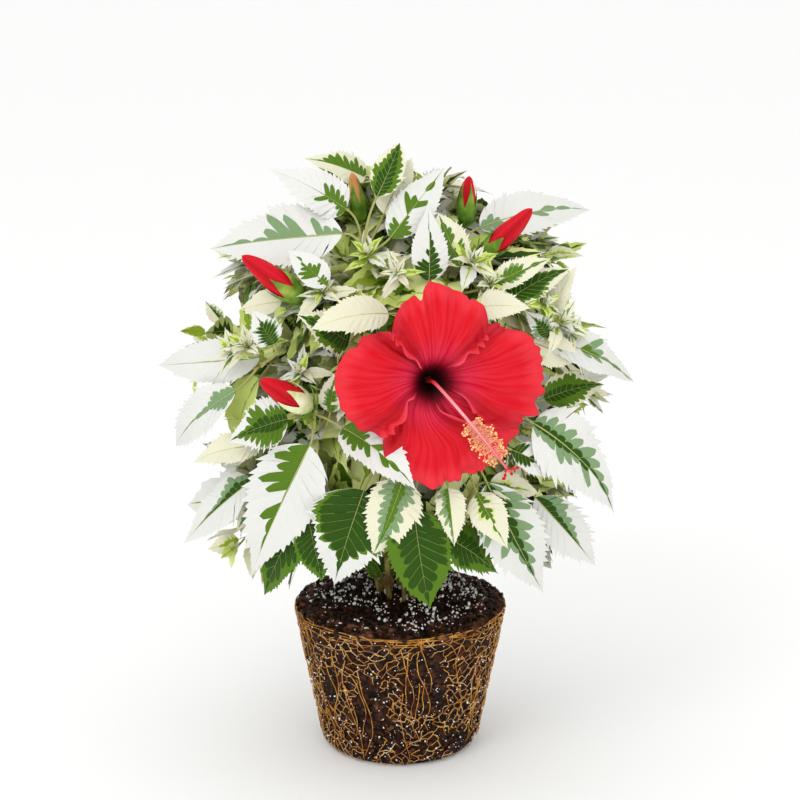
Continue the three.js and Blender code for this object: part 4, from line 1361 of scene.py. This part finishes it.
def pickLook(size, pick, greener, isYoung):
    # greener is the share of leaves that are plain green or edged whatever their mix
    if pick < greener:
        return "green" if pick < greener / 0.55 * 0.3 else "edge"
    mix = youngMix if isYoung else smallMix if size < 22 * mm else largeMix
    share = np.cumsum(list(mix.values()))
    number = np.searchsorted(share, (pick - greener) / (1 - greener) * share[-1])
    return list(mix)[min(int(number), len(mix) - 1)]


picks = chance.uniform(0, 1, len(length))
greener = np.maximum(lowness * 0.5, inside * 0.12) * 0.55
giveLooks(wild, [pickLook(*values) for values in zip(length, picks, greener, isYoung)], chance)
# painted glow: these lighter, yellower colours stand for light shining through the leaves into the shade
# many of the paler leaves are buttery or lime at the margin, more of them deep in the crown and at the front
frontness = ease(-wild["base"][:, 1], -30 * mm, 50 * mm)
swap = chance.uniform(0, 1, len(length)) - 0.15 * ease(-room, -50 * mm, -15 * mm)
fresh = chance.uniform(0, 1, len(length))
recolour(wild, 2, ["white", "cream"], "lime", swap < 0.06 + 0.16 * frontness)
recolour(wild, 2, ["white", "cream"], "butterglow", swap < 0.28 + 0.38 * frontness)
recolour(wild, 1, ["grey"], "young", swap < 0.2 + 0.4 * frontness)
for band in (0, 1):
    recolour(wild, band, ["green"], "young", fresh < (0.14 + 0.48 * frontness) * (1 - lowness))
recolour(wild, 0, ["green"], "dark", fresh > 0.5)
# at the sides and the back, where no named leaf hangs in front, the green runs further to the leaf's tip
more = ((1 - frontness) * (wild["look"][:, 1] > 0.1))[:, None]
wild["look"][:, :3] = np.minimum(wild["look"][:, :3] * (1 + 0.15 * more) + 0.20 * more * [0, 0.5, 1], 1)

# leaves by length: shortest and longest, side veins, and the rib's thickness as a share of the length
kept = []
for low, high, veins, ribs in ((0, 22 * mm, 4, 0.0), (22 * mm, 42 * mm, 6, 0.011), (42 * mm, 1.0, 8, 0.009)):
    chosen = np.nonzero((length >= low) & (length < high))[0]
    grids = leafGrid({name: values[chosen] for name, values in wild.items()}, chance, veins, 2, 1)
    clear = ~hides(grids[0], 2.5 * mm)
    layLeaves(*[part[clear] for part in grids], ribs)
    kept.append(chosen[clear])
    print(f"leaves {low * 1000:.0f} mm and up: {clear.sum()} of {len(chosen)}")
kept = np.concatenate(kept)
limbPoints = np.concatenate([twigPaths.reshape(-1, 3)] + [path[6:] for path in limbPaths.values()])


def layStalks(starts, ends, endWays, steps, lift, radii, sides):
    # a stalk is a curve from start to end that arrives along endWays, raised on its way by lift
    share = np.linspace(0, 1, steps)[None, :, None]
    span = np.linalg.norm(ends - starts, axis=-1)[:, None, None]
    bend = ends[:, None] - endWays[:, None] * span * 0.45 + upright * lift * span
    paths = starts[:, None] * (1 - share) ** 2 + 2 * bend * share * (1 - share) + ends[:, None] * share ** 2
    layTubes(stalkHeap, paths, radii, sides)


def nearestLimb(targets):
    gap = np.linalg.norm(targets[:, None] - limbPoints[None], axis=-1)
    return limbPoints[gap.argmin(1)]


thick = np.clip(wild["length"][kept] * 0.014, 0.3 * mm, 0.85 * mm)[:, None]
thick = thick * np.linspace(1.15, 0.85, 4)
layStalks(wild["node"][kept], wild["base"][kept], wild["way"][kept], 4, 0.03, thick, 3)
roots = nearestLimb(named["base"] - named["way"] * 22 * mm)
layStalks(roots, named["base"], named["way"], 12, 0.04, np.linspace(1.25, 0.85, 12) * mm, 6)
# a bunch of short stalks in the middle of the last mass
roots = nearestLimb(massHeart - tuftWay * 14 * mm)
layStalks(roots, massHeart + tuftWay * mm, tuftWay, 10, 0.02, tuft["stalk"] * np.linspace(1.2, 0.8, 10), 6)
# a stalk to each bud and to the open bloom
ends, ways, girths = [np.array(part) for part in zip(*stalkEnds)]
roots = nearestLimb(ends - ways * 18 * mm)
layStalks(roots, ends, ways, 12, 0.0, girths[:, None] * np.linspace(0.15, 0.13, 12) * mm, 8)

for name, heap in leafHeaps.items():
    gloss, shine = (0.3, 0.12) if name in ("green", "dark") else (0.4, 0.1)
    finish = leafFinish("leaf" + name.capitalize(), leafColours[name], gloss, 0.55, 0.0004, shine)
    pieceFrom("leaf" + name.capitalize(), heap, finish, masses if name == "white" else ())
pieceFrom("leafRibs", ribHeap, leafFinish("leafRib", (0.50, 0.52, 0.20), 0.4, 0.55, 0.0001))
pieceFrom("leafStalks", stalkHeap, leafFinish("leafStalk", (0.36, 0.36, 0.12), 0.4, 0.55, 0.0001))


# floor: a wide disc under the plant

floorSides = 96
floorRing = polar(1.0, np.linspace(0, fullTurn, floorSides, endpoint=False), 0.0)
floorRows = floorRing[None] * np.array([0.2, 1, 6, studio["floorRadius"]])[:, None, None]
floorPoints = np.concatenate([[[0, 0, 0]], floorRows.reshape(-1, 3)]) - np.array([0, 0, 0.2 * mm])
here = np.arange(floorSides)
floorFan = np.stack([0 * here, 1 + here, 1 + (here + 1) % floorSides], 1)
floorFaces = np.concatenate([floorFan, 1 + gridTriangles(4, floorSides, True)[:, ::-1]])
floorMesh = bpy.data.meshes.new("paleFloor")
floorMesh.from_pydata(floorPoints.tolist(), [], floorFaces.tolist())
floorMaterial, floorTree, floorShader = newMaterial("paleFloor", 0.8, 0.1)
feed(floorTree, floorShader, {"Base Color": (*studio["floorColour"], 1)})
floorMesh.materials.append(floorMaterial)
floor = newObject("paleFloor", floorMesh)
floor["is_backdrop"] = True

scene.view_settings.view_transform = "Standard"

low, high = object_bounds()
print("size", [round((b - a) * 1000) for a, b in zip(low, high)])
